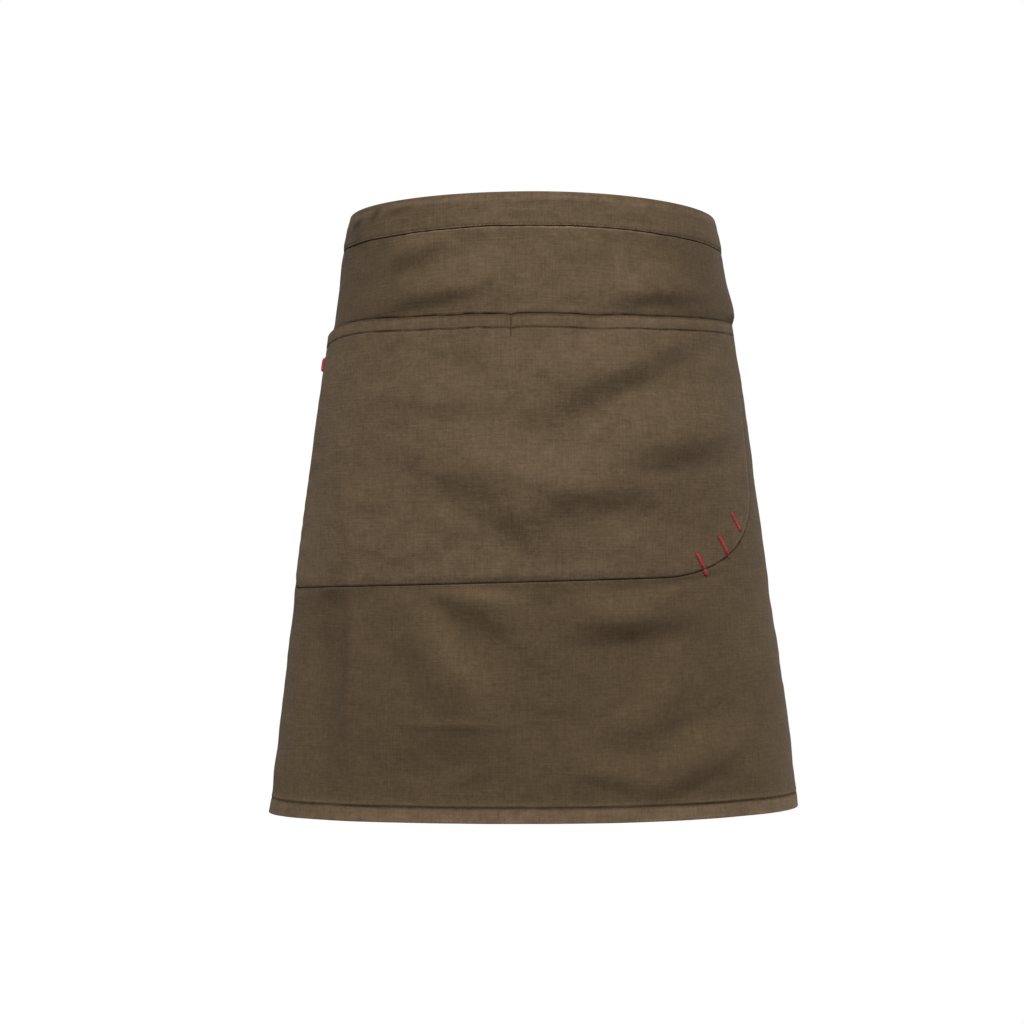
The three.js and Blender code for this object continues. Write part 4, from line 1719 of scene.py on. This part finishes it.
@dataclass
class PatchPocket(ApronPiece):
    """Wide patch pocket with a hemmed mouth and one large rounded corner."""

    step: float = 2.6
    middle_rows: int = 64
    roll: float = 0.95
    inner_roll: float = 0.6
    groove: float = 0.32
    fold_step: float = 0.6
    edge_stitch: float = 1.2
    stitch_sink: float = 0.14
    cloth_shift: float = 11.7
    pale_mouth: float = 0.16
    pale_sewn: float = 0.25
    # Strengths of painted shade in the mouth hem's groove and on the mouth's crest
    hem_groove_shade: float = 0.85
    hem_groove_side_shade: float = 0.45
    mouth_shade: float = 0.95

    def columns(self) -> Array:
        """Places of the grid's columns, in even angles round the large corner.

        Returns:
            Places along the waist, from left to right.
        """
        left = self.sizes.pocket_left
        flat_end = self.sizes.pocket_right - self.sizes.right_corner
        straight = ladder(left, (left + 1, 0.25), (left + 12, 1.1), (flat_end, self.step))
        turn = np.linspace(0, np.pi / 2, 50)[1:]
        return np.concatenate([straight, flat_end + self.sizes.right_corner * np.sin(turn)])

    def levels(self, s: Array) -> Array:
        """Levels of the rows at each column, closer at the mouth hem and the foot.

        Args:
            s: Places of the columns.

        Returns:
            Levels, from the foot up.
        """
        mouth = self.relief.mouth_level(s)
        foot = self.relief.pocket_foot(s)
        top = ladder(0, (1, 0.25), (8.8, 1.6), (12, 0.5), (13.5, 1.5))
        low = ladder(0, (1, 0.25), (3.2, 0.7), (4.4, 1.2))
        share = np.linspace(0, 1, self.middle_rows + 2)[1:-1]
        start = mouth + top[-1]
        end = foot - low[-1]
        rows = [foot - step for step in low]
        rows += [end + (start - end) * part for part in share]
        rows += [mouth + step for step in top[::-1]]
        return np.array(rows)

    def free_edge(self, s: Array, t: Array) -> Array:
        """Distance inside the pocket's outline, the mouth included."""
        return np.minimum(self.relief.inside_pocket(s, t), t - self.relief.mouth_level(s))

    def hem_away(self, s: Array, t: Array) -> Array:
        """Distance below the mouth hem's stitches."""
        return t - self.relief.mouth_level(s) - self.sizes.mouth_hem

    def stitched_face(self, s: Array, t: Array) -> Array:
        """Outer face with the groove that the mouth hem's stitches draw."""
        return self.relief.pocket_face(s, t) - self.groove * line_mark(self.hem_away(s, t), 0.7)

    def thickness(self, s: Array, t: Array) -> Array:
        """One layer of cloth, or two at the mouth hem and the turned edges.

        Args:
            s: Places along the waist.
            t: Levels below the top edge.

        Returns:
            A thickness in millimetres for each place.
        """
        hem = ease(-self.hem_away(s, t) / self.fold_step + 1)
        turned = ease((self.sizes.turning - self.relief.inside_pocket(s, t)) / self.fold_step + 1)
        return self.sizes.cloth * (1 + np.maximum(hem, turned))

    def worn(self, s: Array, t: Array) -> Array:
        """Paler cloth below the mouth and along the sewn edge, and painted light over the pocket, more
        towards its foot and less towards its right side.

        Args:
            s: Places along the waist.
            t: Levels below the top edge.

        Returns:
            A share from 0 to 1 for each place.
        """
        below_mouth = beyond(t - self.relief.mouth_level(s))
        mouth = self.pale_mouth * line_mark(below_mouth - 2.6, 1.8)
        sewn = self.pale_sewn * line_mark(self.relief.inside_pocket(s, t) - 2.4, 1.2)
        # Painted light over the pocket, more towards its foot and less towards its right side
        lower = 0.82 + 0.5 * ease((t - 215) / 60)
        painted_light = self.twill.painted_paleness * lower * (1 - 0.5 * ease((s - 60) / 80))
        return np.clip(painted_light + mouth + sewn, 0, 1)

    def seam(self, s: Array, t: Array) -> Array:
        """Painted shade along the mouth's crest and in its hem's stitched groove, with the painted fold
        shadow.

        Args:
            s: Places along the waist.
            t: Levels below the top edge.

        Returns:
            A share from 0 to 1 for each place.
        """
        # Painted shade in the mouth hem's stitched groove
        hem = self.hem_groove_shade + self.hem_groove_side_shade * self.relief.sideways(s)
        hem = hem * line_mark(self.hem_away(s, t), 0.75) * self.relief.seam_tone(s, t)
        # Painted shade on the mouth's crest
        crest = self.mouth_shade * np.exp(-beyond(t - self.relief.mouth_level(s)))
        return np.clip(np.maximum.reduce([hem, crest, self.twill.painted_fold_and_side_shade(s, t)]), 0, 1)

    def build(self) -> Piece:
        """Builds the sheet.

        Returns:
            The pocket.
        """
        places = self.columns()
        t = self.levels(places)
        s = np.broadcast_to(places, t.shape)
        edge = self.free_edge(s, t)
        back = edge_roll(edge, self.roll)
        outer = self.form.place(s, t, self.stitched_face(s, t) - back)
        lining = self.relief.pocket_face(s, t) + self.relief.pressed(s, t) - self.thickness(s, t)
        inner = self.form.place(s, t, lining + self.inner_roll * back * (edge > 0.01))
        cloth = np.stack([s + self.cloth_shift, -t], axis=-1) * MM
        return SheetGrid("pocket_cloth", outer, inner, cloth, self.worn(s, t), self.seam(s, t)).build()

    def seams(self) -> list[Piece]:
        """Sews the mouth hem and the pocket's edge.

        Returns:
            The stitch pieces.
        """
        sizes = self.sizes
        inset = self.edge_stitch
        s = np.linspace(sizes.pocket_left + inset, sizes.pocket_right - inset, 700)
        mouth = SeamPath.on_face(self.form, s, self.relief.mouth_level(s) + sizes.mouth_hem, self.sunk_face)
        sewn = [self.edge_path(inset, self.sunk_face), self.edge_path(inset, self.panel_inside).turned()]
        edge = self.parts.sew("pocket_stitches", sewn, FADED_THREAD)
        return [self.parts.sew("mouth_stitches", [mouth]), edge]

    def sunk_face(self, s: Array, t: Array) -> Array:
        """Outer face where the stitches are drawn into it."""
        return self.stitched_face(s, t) - self.stitch_sink

    def panel_inside(self, s: Array, t: Array) -> Array:
        """Inner face of the panel under the pocket, where its stitches come through."""
        return self.relief.panel_face(s, t) - self.sizes.cloth

    def edge_path(self, inset: float, face: Face) -> SeamPath:
        """Line inside the pocket's sewn edge, from the mouth down the left side and round to the mouth.

        Args:
            inset: Distance inside the edge.
            face: Face that it lies on.

        Returns:
            The path.
        """
        sizes = self.sizes
        relief = self.relief
        left = sizes.pocket_left + inset
        right = sizes.pocket_right - inset
        left_radius = sizes.left_corner - inset
        right_radius = sizes.right_corner - inset
        right_height = sizes.right_corner_height - inset
        left_base = relief.pocket_base(np.array(left)) - sizes.left_corner
        right_base = relief.pocket_base(np.array(right)) - sizes.right_corner_height
        turn = np.linspace(0, np.pi / 2, 120)
        down = np.linspace(sizes.mouth + 1.5, left_base, 300)
        across = np.linspace(left + left_radius, right - right_radius, 500)[1:-1]
        up = np.linspace(right_base, sizes.mouth + 1.5, 200)
        corner_left = left + left_radius * (1 - np.cos(turn))
        corner_right = right - right_radius * (1 - np.sin(turn))
        s = np.concatenate([0 * down + left, corner_left, across, corner_right, 0 * up + right])
        t = np.concatenate(
            [
                down,
                relief.pocket_base(corner_left) - sizes.left_corner + left_radius * np.sin(turn),
                relief.pocket_base(across) - inset,
                relief.pocket_base(corner_right) - sizes.right_corner_height + right_height * np.cos(turn),
                up,
            ]
        )
        return SeamPath.on_face(self.form, s, t, face)

    def dress(self, piece: Piece, stitches: Sequence[Piece]) -> None:
        """Args:
            piece: The pocket.
            stitches: The stitches on it; not used.
        """
        present(piece, self.twill.material(), Slot.TWILL, ["pocket"])


@dataclass
class ThreadTacks(ApronPiece):
    """Bar tacks: close stitches wound over a core of thread, following the cloth under them."""

    pitch: float = 0.95
    # Width share and height of the painted shadow bar under each tack
    shadow_spread: float = 1.65
    shadow_height: float = 0.5
    overlap: float = 1.45
    fullness: float = 1.25
    stand_off: float = 0.22
    slants: tuple[float, float] = (-0.1, 0.16)

    def bar(self, name: str, tack: Tack) -> Piece:
        """Builds the turns of one tack.

        Args:
            name: Name of the piece.
            tack: Its place and size.

        Returns:
            The piece.
        """
        stitch = self.parts.stitch
        turn = math.radians(tack.slope)
        count = round(tack.length / self.pitch)
        along = np.linspace(-0.5, 0.5, count) * tack.length
        s = tack.s + along * math.cos(turn)
        t = tack.t + along * math.sin(turn)
        share = np.abs(2 * along / tack.length)
        out = self.relief.carrying_face(s, t) + tack.lift * (1 - share**4)
        points = self.form.place(s, t, out)
        outwards = unit(self.form.place(s, t, out + 1) - points)
        axis = unit(np.gradient(points, axis=0))
        outwards = unit(outwards - axis * np.sum(outwards * axis, axis=-1, keepdims=True))
        across = unit(np.cross(outwards, axis))
        slant = np.array(self.slants)[np.arange(count) % 2][:, None]
        wound = unit(across + slant * axis)
        axes = np.stack([wound, unit(np.cross(outwards, wound)), outwards], axis=1)
        taper = np.sqrt(1 - 0.75 * share**14) * (0.8 + 0.32 * share**2)
        scales = np.stack(
            [
                taper * tack.width / stitch.length,
                np.full(count, self.overlap * self.pitch / stitch.width),
                taper * tack.height / stitch.height * self.fullness,
            ],
            axis=1,
        )
        centres = points + outwards * self.stand_off * MM
        return joined_copies(name, self.parts.stitch_shape, centres, axes, scales)

    def build(self) -> None:
        """Builds and dresses every tack, each over a painted shadow bar."""
        for tack in TACKS:
            piece = self.bar(f"{tack.node}_thread", tack)
            present(piece, RED_THREAD.material(), Slot.RED_THREAD, [tack.node])
            # Painted contact shadow: a wider, flatter, dark red bar under each tack
            shadow_spread = tack.width * self.shadow_spread
            shadow_bar = replace(tack, width=shadow_spread, height=self.shadow_height, length=tack.length + 1, lift=0.0)
            piece = self.bar(f"{tack.node}_ends", shadow_bar)
            present(piece, RED_TACK_SHADOW.material(), Slot.RED_THREAD)
        piece = self.bar(f"{MOUTH_TACK.node}_thread", MOUTH_TACK)
        present(piece, FADED_THREAD.material(), Slot.BROWN_THREAD, [MOUTH_TACK.node])


Strip = tuple[Piece, list[SeamPath]]


@dataclass
class BackTies(ApronPiece):
    """Two flat ties that leave the waistband's ends, meet in a knot at the back and hang as two tails."""

    across_points: int = 17
    roll: float = 0.45
    pleat: float = 1.1
    pleat_count: float = 2.5
    pleat_phase: float = 0.6
    stitch_inset: float = 2.0
    # Strength of painted shade along the lines of stitches
    stitch_line_shade: float = 0.35
    pale_edge: float = 0.5
    end_hem: float = 8.0
    end_points: int = 30
    tie_stations: int = 34
    narrowing: float = 0.3
    tail_apart: float = 7.6
    tail_lean: float = 26.0
    tail_swing: float = 5.0
    tail_twist: float = 0.35
    tail_start: float = 0.58
    bundle_size: float = 0.9
    bundle_waist: float = 0.16
    bundle_pleat: float = 0.055
    wrap_radius: float = 0.25
    wrap_size: float = 0.84
    wrap_width: float = 6.2
    wrap_slant: float = 2.4
    wrap_rib: float = 0.05
    knot_skin: float = 0.55
    knot_girth: float = 10.0

    @property
    def knot_place(self) -> float:
        """Place of the knot along the waist."""
        return self.form.half_girth + self.sizes.turn

    def knot_frame(self) -> tuple[Array, Array, Array]:
        """Where the knot sits.

        Returns:
            Its middle in metres, and the directions outwards and along the waist.
        """
        place = np.array(self.knot_place)
        middle = self.form.place(place, self.sizes.top, self.sizes.slot_middle)
        out = unit(self.form.place(place, self.sizes.top, self.sizes.slot_middle + 1) - middle)
        return middle, out, unit(np.cross(out, UP))

    def pleats(self, place: Array) -> Array:
        """Height of a gathered strip's pleats from -1 to 1, by the place across it."""
        return np.cos(place * self.pleat_count * np.pi + self.pleat_phase)

    def strip(
        self, name: str, middles: Array, across: Array, widths: Array, gather: Array, end_fold: bool
    ) -> Strip:
        """Flat strip of doubled cloth along a row of stations.

        Args:
            name: Name of the piece.
            middles: Middle of the strip at each station, in metres.
            across: Direction across the strip at each station.
            widths: Width at each station in millimetres.
            gather: From 0, flat, to 1, pleated, at each station.
            end_fold: Whether the last station is a hemmed free end.

        Returns:
            The strip and the lines of stitches along its edges.
        """
        cloth = self.sizes.cloth
        along = unit(np.gradient(middles, axis=0))
        normal = unit(np.cross(across, along))
        w = np.sin(np.linspace(-1, 1, self.across_points) * np.pi / 2)
        edge = (1 - np.abs(w))[None, :] * widths[:, None] / 2
        length = run_lengths(middles) / MM
        if end_fold:
            edge = np.minimum(edge, (length[-1] - length)[:, None])
        wave = self.pleats(w)[None, :] * gather[:, None] * self.pleat
        body = middles[:, None, :] + across[:, None, :] * (w[None, :, None] * widths[:, None, None] / 2 * MM)
        back = edge_roll(edge, self.roll)
        face = wave + cloth / 2 - back
        rear = wave - cloth / 2 + back
        outer = body + normal[:, None, :] * face[..., None] * MM
        inner = body + normal[:, None, :] * rear[..., None] * MM
        sideways = w[None, :] * widths[:, None] / 2
        places = np.stack(np.broadcast_arrays(sideways, length[:, None]), axis=-1) * MM
        # Painted shade along the lines of stitches
        seam = self.stitch_line_shade * line_mark(edge - self.stitch_inset, 0.7)
        sheet = SheetGrid(name, outer, inner, places, self.pale_edge * np.exp(-edge), seam)
        lines = []
        for sign in (-1, 1):
            share = sign * (1 - 2 * self.stitch_inset / widths)
            lift = self.pleats(share) * gather * self.pleat + cloth / 2
            points = middles + across * (share * widths / 2 * MM)[:, None] + normal * (lift * MM)[:, None]
            lines.append(SeamPath(points, normal))
        if end_fold:
            last = int(np.searchsorted(length, length[-1] - self.end_hem))
            reach = np.linspace(-0.9, 0.9, self.end_points)[:, None] * widths[last] / 2 * MM
            points = middles[last] + across[last] * reach + normal[last] * (cloth / 2 * MM)
            lines.append(SeamPath(points, np.tile(normal[last], (self.end_points, 1))))
        return sheet.build(), lines

    def tie(self, name: str, start: float, end: float, knot_last: bool) -> Strip:
        """One tie between the band and the knot.

        Args:
            name: Name of the piece.
            start: Place along the waist where it begins.
            end: Place where it ends, farther round.
            knot_last: Whether the knot is at its end.

        Returns:
            The tie and its lines of stitches.
        """
        sizes = self.sizes
        form = self.form
        s = np.linspace(start, end, self.tie_stations)
        middles = form.place(s, sizes.top, sizes.slot_middle)
        rise = form.place(s, 0, sizes.slot_middle) - form.place(s, sizes.band_height, sizes.slot_middle)
        along = unit(np.gradient(middles, axis=0))
        across = unit(rise - along * np.sum(rise * along, axis=1, keepdims=True))
        share = np.linspace(0, 1, len(s))
        gather = ease(2 * share - 1) if knot_last else ease(1 - 2 * share)
        widths = sizes.tie_width * (1 - self.narrowing * gather)
        return self.strip(name, middles, -across, widths, gather, False)

    def tail(self, name: str, side: Side) -> Strip:
        """One tail that hangs from the knot and opens to the tie's full width.

        Args:
            name: Name of the piece.
            side: Side that it leans to along the waist.

        Returns:
            The tail and its lines of stitches.
        """
        sizes = self.sizes
        middle, out, along = self.knot_frame()
        sign = side.value
        share = ladder(-0.012, (0.2, 0.012), (0.95, 0.02), (0.99, 0.008), (1.0, 0.0012))
        fall = np.clip(share, 0, 1)
        lean = sign * (self.tail_apart + self.tail_lean * fall**1.4)
        swing = self.tail_swing * np.sin(fall * 5 + sign) * ease(fall * 3)
        twist = sign * self.tail_twist * np.sin(fall * 4)
        drop = sizes.knot_half_height * sizes.knot_bulge + sizes.gap + share * sizes.tail_length
        middles = middle + MM * (lean[:, None] * along + swing[:, None] * out - drop[:, None] * UP)
        across = np.cos(twist)[:, None] * along + np.sin(twist)[:, None] * out
        widths = sizes.tie_width * (self.tail_start + (1 - self.tail_start) * ease(fall * 5))
        return self.strip(name, middles, across, widths, 1 - ease(fall * 4), True)

    def round_knot(self, place: Array, turn: Array, size: Array) -> Array:
        """Points round the knot.

        Args:
            place: Distances along the knot from its middle, in millimetres.
            turn: Angles round it.
            size: Shares of its half-depth and half-height.

        Returns:
            Coordinates in metres, one point after another.
        """
        middle, out, along = self.knot_frame()
        deep = size * np.cos(turn) * self.sizes.knot_half_depth
        high = size * np.sin(turn) * self.sizes.knot_half_height
        points = place[:, None] * along + deep[:, None] * out + high[:, None] * UP
        return (middle + MM * points).ravel()

    def knot(self) -> Piece:
        """Builds the knot: a pleated bundle with one turn of the tie drawn tight round its middle.

        Returns:
            The knot.
        """
        bpy.ops.object.select_all(action="DESELECT")
        bpy.ops.mesh.primitive_uv_sphere_add(segments=72, ring_count=44, radius=1.0)
        bundle = bpy.context.active_object
        ball = np.array([vertex.co[:] for vertex in bundle.data.vertices])
        turn = np.arctan2(ball[:, 1], ball[:, 0])
        place = ball[:, 2]
        away = np.abs(place)
        ring = np.sqrt(np.clip(1 - away**5, 0, 1)) * (1 - self.bundle_waist * lobe((away - 0.42) / 0.2))
        pleats = 1 + self.bundle_pleat * np.sin(7 * turn + 3 * place) * ease((away - 0.25) / 0.3)
        half_length = self.sizes.knot_length / 2
        points = self.round_knot(place * half_length, turn, self.bundle_size * ring * pleats)
        bundle.data.vertices.foreach_set("co", points)
        bpy.ops.mesh.primitive_torus_add(
            major_segments=96, minor_segments=28, major_radius=1.0, minor_radius=self.wrap_radius
        )
        wrap = bpy.context.active_object
        hoop = np.array([vertex.co[:] for vertex in wrap.data.vertices])
        turn = np.arctan2(hoop[:, 1], hoop[:, 0])
        thick = np.hypot(hoop[:, 0], hoop[:, 1]) - 1.0
        wide = hoop[:, 2] / self.wrap_radius
        ribs = 1 + self.wrap_rib * np.cos(wide * 2.4 * np.pi)
        place = wide * self.wrap_width + self.wrap_slant * np.sin(turn)
        points = self.round_knot(place, turn, (self.wrap_size + 0.8 * thick) * ribs)
        wrap.data.vertices.foreach_set("co", points)
        bundle.select_set(True)
        wrap.select_set(True)
        bpy.context.view_layer.objects.active = bundle
        bpy.ops.object.join()
        bundle.name = "knot_cloth"
        bundle.data.name = "knot_cloth"
        remesh = bundle.modifiers.new("one_skin", "REMESH")
        remesh.mode = "VOXEL"
        remesh.voxel_size = self.knot_skin * MM
        bpy.ops.object.modifier_apply(modifier=remesh.name)
        relax = bundle.modifiers.new("soften", "SMOOTH")
        relax.factor = 0.5
        relax.iterations = 4
        bpy.ops.object.modifier_apply(modifier=relax.name)
        self.map_knot(bundle)
        bpy.ops.object.shade_smooth()
        return bundle

    def map_knot(self, knot: Piece) -> None:
        """Lays the cloth's places over the knot, round its length.

        Args:
            knot: The knot.
        """
        middle, out, along = self.knot_frame()
        mesh = knot.data
        layer = mesh.uv_layers.new(name="UVMap")
        points = np.empty(len(mesh.vertices) * 3)
        mesh.vertices.foreach_get("co", points)
        offset = points.reshape(-1, 3) - middle
        turn = np.arctan2(offset[:, 2], offset @ out)
        places = np.stack([turn * self.knot_girth * MM, offset @ along], axis=-1)
        layer.data.foreach_set("uv", places[corner_points(mesh)].ravel())

    def build(self) -> None:
        """Builds, sews and dresses the ties, the knot and the tails."""
        sizes = self.sizes
        room = sizes.knot_length / 2 + sizes.gap - 2
        left_end = sizes.band_left + sizes.tie_inset + 2 * self.form.half_girth
        right_end = sizes.band_right - sizes.tie_inset
        knot = self.knot()
        present(knot, self.twill.material(), Slot.TWILL, ["tie_knot"])
        runs = {
            "tie_left": self.tie("tie_left_cloth", self.knot_place + room, left_end, False),
            "tie_right": self.tie("tie_right_cloth", right_end, self.knot_place - room, True),
            "tail_left": self.tail("tail_left_cloth", Side.LEFT),
            "tail_right": self.tail("tail_right_cloth", Side.RIGHT),
        }
        for node, (piece, lines) in runs.items():
            stitches = self.parts.sew(f"{node}_stitches", lines)
            present(piece, self.twill.material(), Slot.TWILL, [node])
            length = np.linalg.norm(np.diff(lines[0].points, axis=0), axis=1).sum()


@dataclass(frozen=True)
class SoftLight:
    """Large soft studio light, with its place, aim, size and power."""

    name: str
    place: Triple
    aim: Triple
    size: tuple[float, float]
    power: float

    def build(self) -> None:
        """Adds the light."""
        data = bpy.data.lights.new(self.name, "AREA")
        data.shape = "RECTANGLE"
        data.size, data.size_y = self.size
        data.energy = self.power
        light = bpy.data.objects.new(self.name, data)
        light.location = self.place
        light.rotation_euler = (Vector(self.aim) - Vector(self.place)).to_track_quat("-Z", "Y").to_euler()
        bpy.context.collection.objects.link(light)


@dataclass
class Studio:
    """Pale floor, plain backdrop, soft lights and the camera at the photograph's place."""

    floor_height: float = -1.2
    floor_radius: float = 1.45
    floor_colour: Colour = (0.66, 0.65, 0.63)
    floor_dulling: float = 0.97
    floor_roughness: float = 0.8
    room_colour: Colour = (1.0, 0.985, 0.965)
    room_light: float = 0.06
    camera_place: Triple = (-0.0164, -1.6, -0.2506)
    camera_pitch: float = 0.943
    focal_pixels: float = 2005.0
    image_pixels: float = 1024.0
    sensor: float = 36.0
    lights: Sequence[SoftLight] = (
        SoftLight("key", (0.02, -1.75, 2.35), (0.0, 0.0, -0.2), (0.9, 0.7), 131.0),
        SoftLight("front_fill", (-0.2, -2.4, 0.1), (0.0, 0.0, -0.25), (1.4, 1.2), 2.4),
        SoftLight("left_strip", (-1.4, 0.4, -0.7), (-0.15, 0.0, -0.35), (0.4, 0.5), 4.6),
        SoftLight("right_strip", (1.4, 0.4, -0.7), (0.15, 0.0, -0.35), (0.4, 0.5), 8.2),
        SoftLight("back_fill", (0.0, 2.0, 0.7), (0.0, 0.0, -0.2), (1.4, 1.0), 20.0),
    )

    def floor(self) -> None:
        """Adds the floor as a disc with a soft, faintly uneven matt finish."""
        bpy.ops.object.select_all(action="DESELECT")
        bpy.ops.mesh.primitive_circle_add(
            vertices=96, radius=self.floor_radius, fill_type="NGON", location=(0, 0, self.floor_height)
        )
        disc = bpy.context.active_object
        disc.name = "studio_floor"
        material, board, shader = new_finish("pale_floor")
        places = board.add("ShaderNodeTexCoord").outputs["Object"]
        cloud = board.streaks(places, (3.0, 3.0, 3.0), 3.0)
        dull = tuple(self.floor_dulling * part for part in self.floor_colour)
        colour = board.mix(cloud, rgba(self.floor_colour), rgba(dull))
        board.fill(shader, Base_Color=colour, Roughness=self.floor_roughness)
        disc.data.materials.append(material)

    def backdrop(self) -> None:
        """Sets a white backdrop that lights the room less than it shows."""
        scene = bpy.context.scene
        world = bpy.data.worlds.new("studio_room")
        scene.world = world
        world.use_nodes = True
        board = NodeBoard(world.node_tree)
        board.tree.nodes.clear()
        shown = board.add("ShaderNodeBackground", Color=(1, 1, 1, 1), Strength=1.0)
        light = board.add("ShaderNodeBackground", Color=rgba(self.room_colour), Strength=self.room_light)
        path = board.add("ShaderNodeLightPath")
        both = board.add("ShaderNodeMixShader")
        board.feed(both.inputs[0], path.outputs["Is Camera Ray"])
        board.feed(both.inputs[1], light.outputs[0])
        board.feed(both.inputs[2], shown.outputs[0])
        board.add("ShaderNodeOutputWorld", Surface=both.outputs[0])
        scene.view_settings.view_transform = "Standard"

    def camera(self) -> None:
        """Adds the camera at the photograph's viewing angle."""
        data = bpy.data.cameras.new("photo_camera")
        data.sensor_width = self.sensor
        data.lens = self.focal_pixels / self.image_pixels * self.sensor
        camera = bpy.data.objects.new("photo_camera", data)
        camera.location = self.camera_place
        camera.rotation_euler = (math.radians(90 + self.camera_pitch), 0.0, 0.0)
        bpy.context.collection.objects.link(camera)
        bpy.context.scene.camera = camera

    def build(self) -> None:
        """Builds the studio."""
        self.camera()
        self.floor()
        self.backdrop()
        for light in self.lights:
            light.build()


def main() -> None:
    """Builds the apron piece by piece over the frame, then the studio."""
    logging.basicConfig(level=logging.INFO, format="%(message)s")
    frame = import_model()
    LOG.info("frame: %d solids", len(frame["nodes"]))
    sizes = ApronSizes()
    parts = ApronParts(sizes, WornForm(FORM_LEVELS, sizes), ApronRelief(sizes))
    for assembly in (SkirtPanel(parts), Waistband(parts), PatchPocket(parts)):
        piece = assembly.build()
        assembly.dress(piece, assembly.seams())
    ThreadTacks(parts).build()
    BackTies(parts).build()
    Studio().build()


if __name__ == "__main__":
    main()
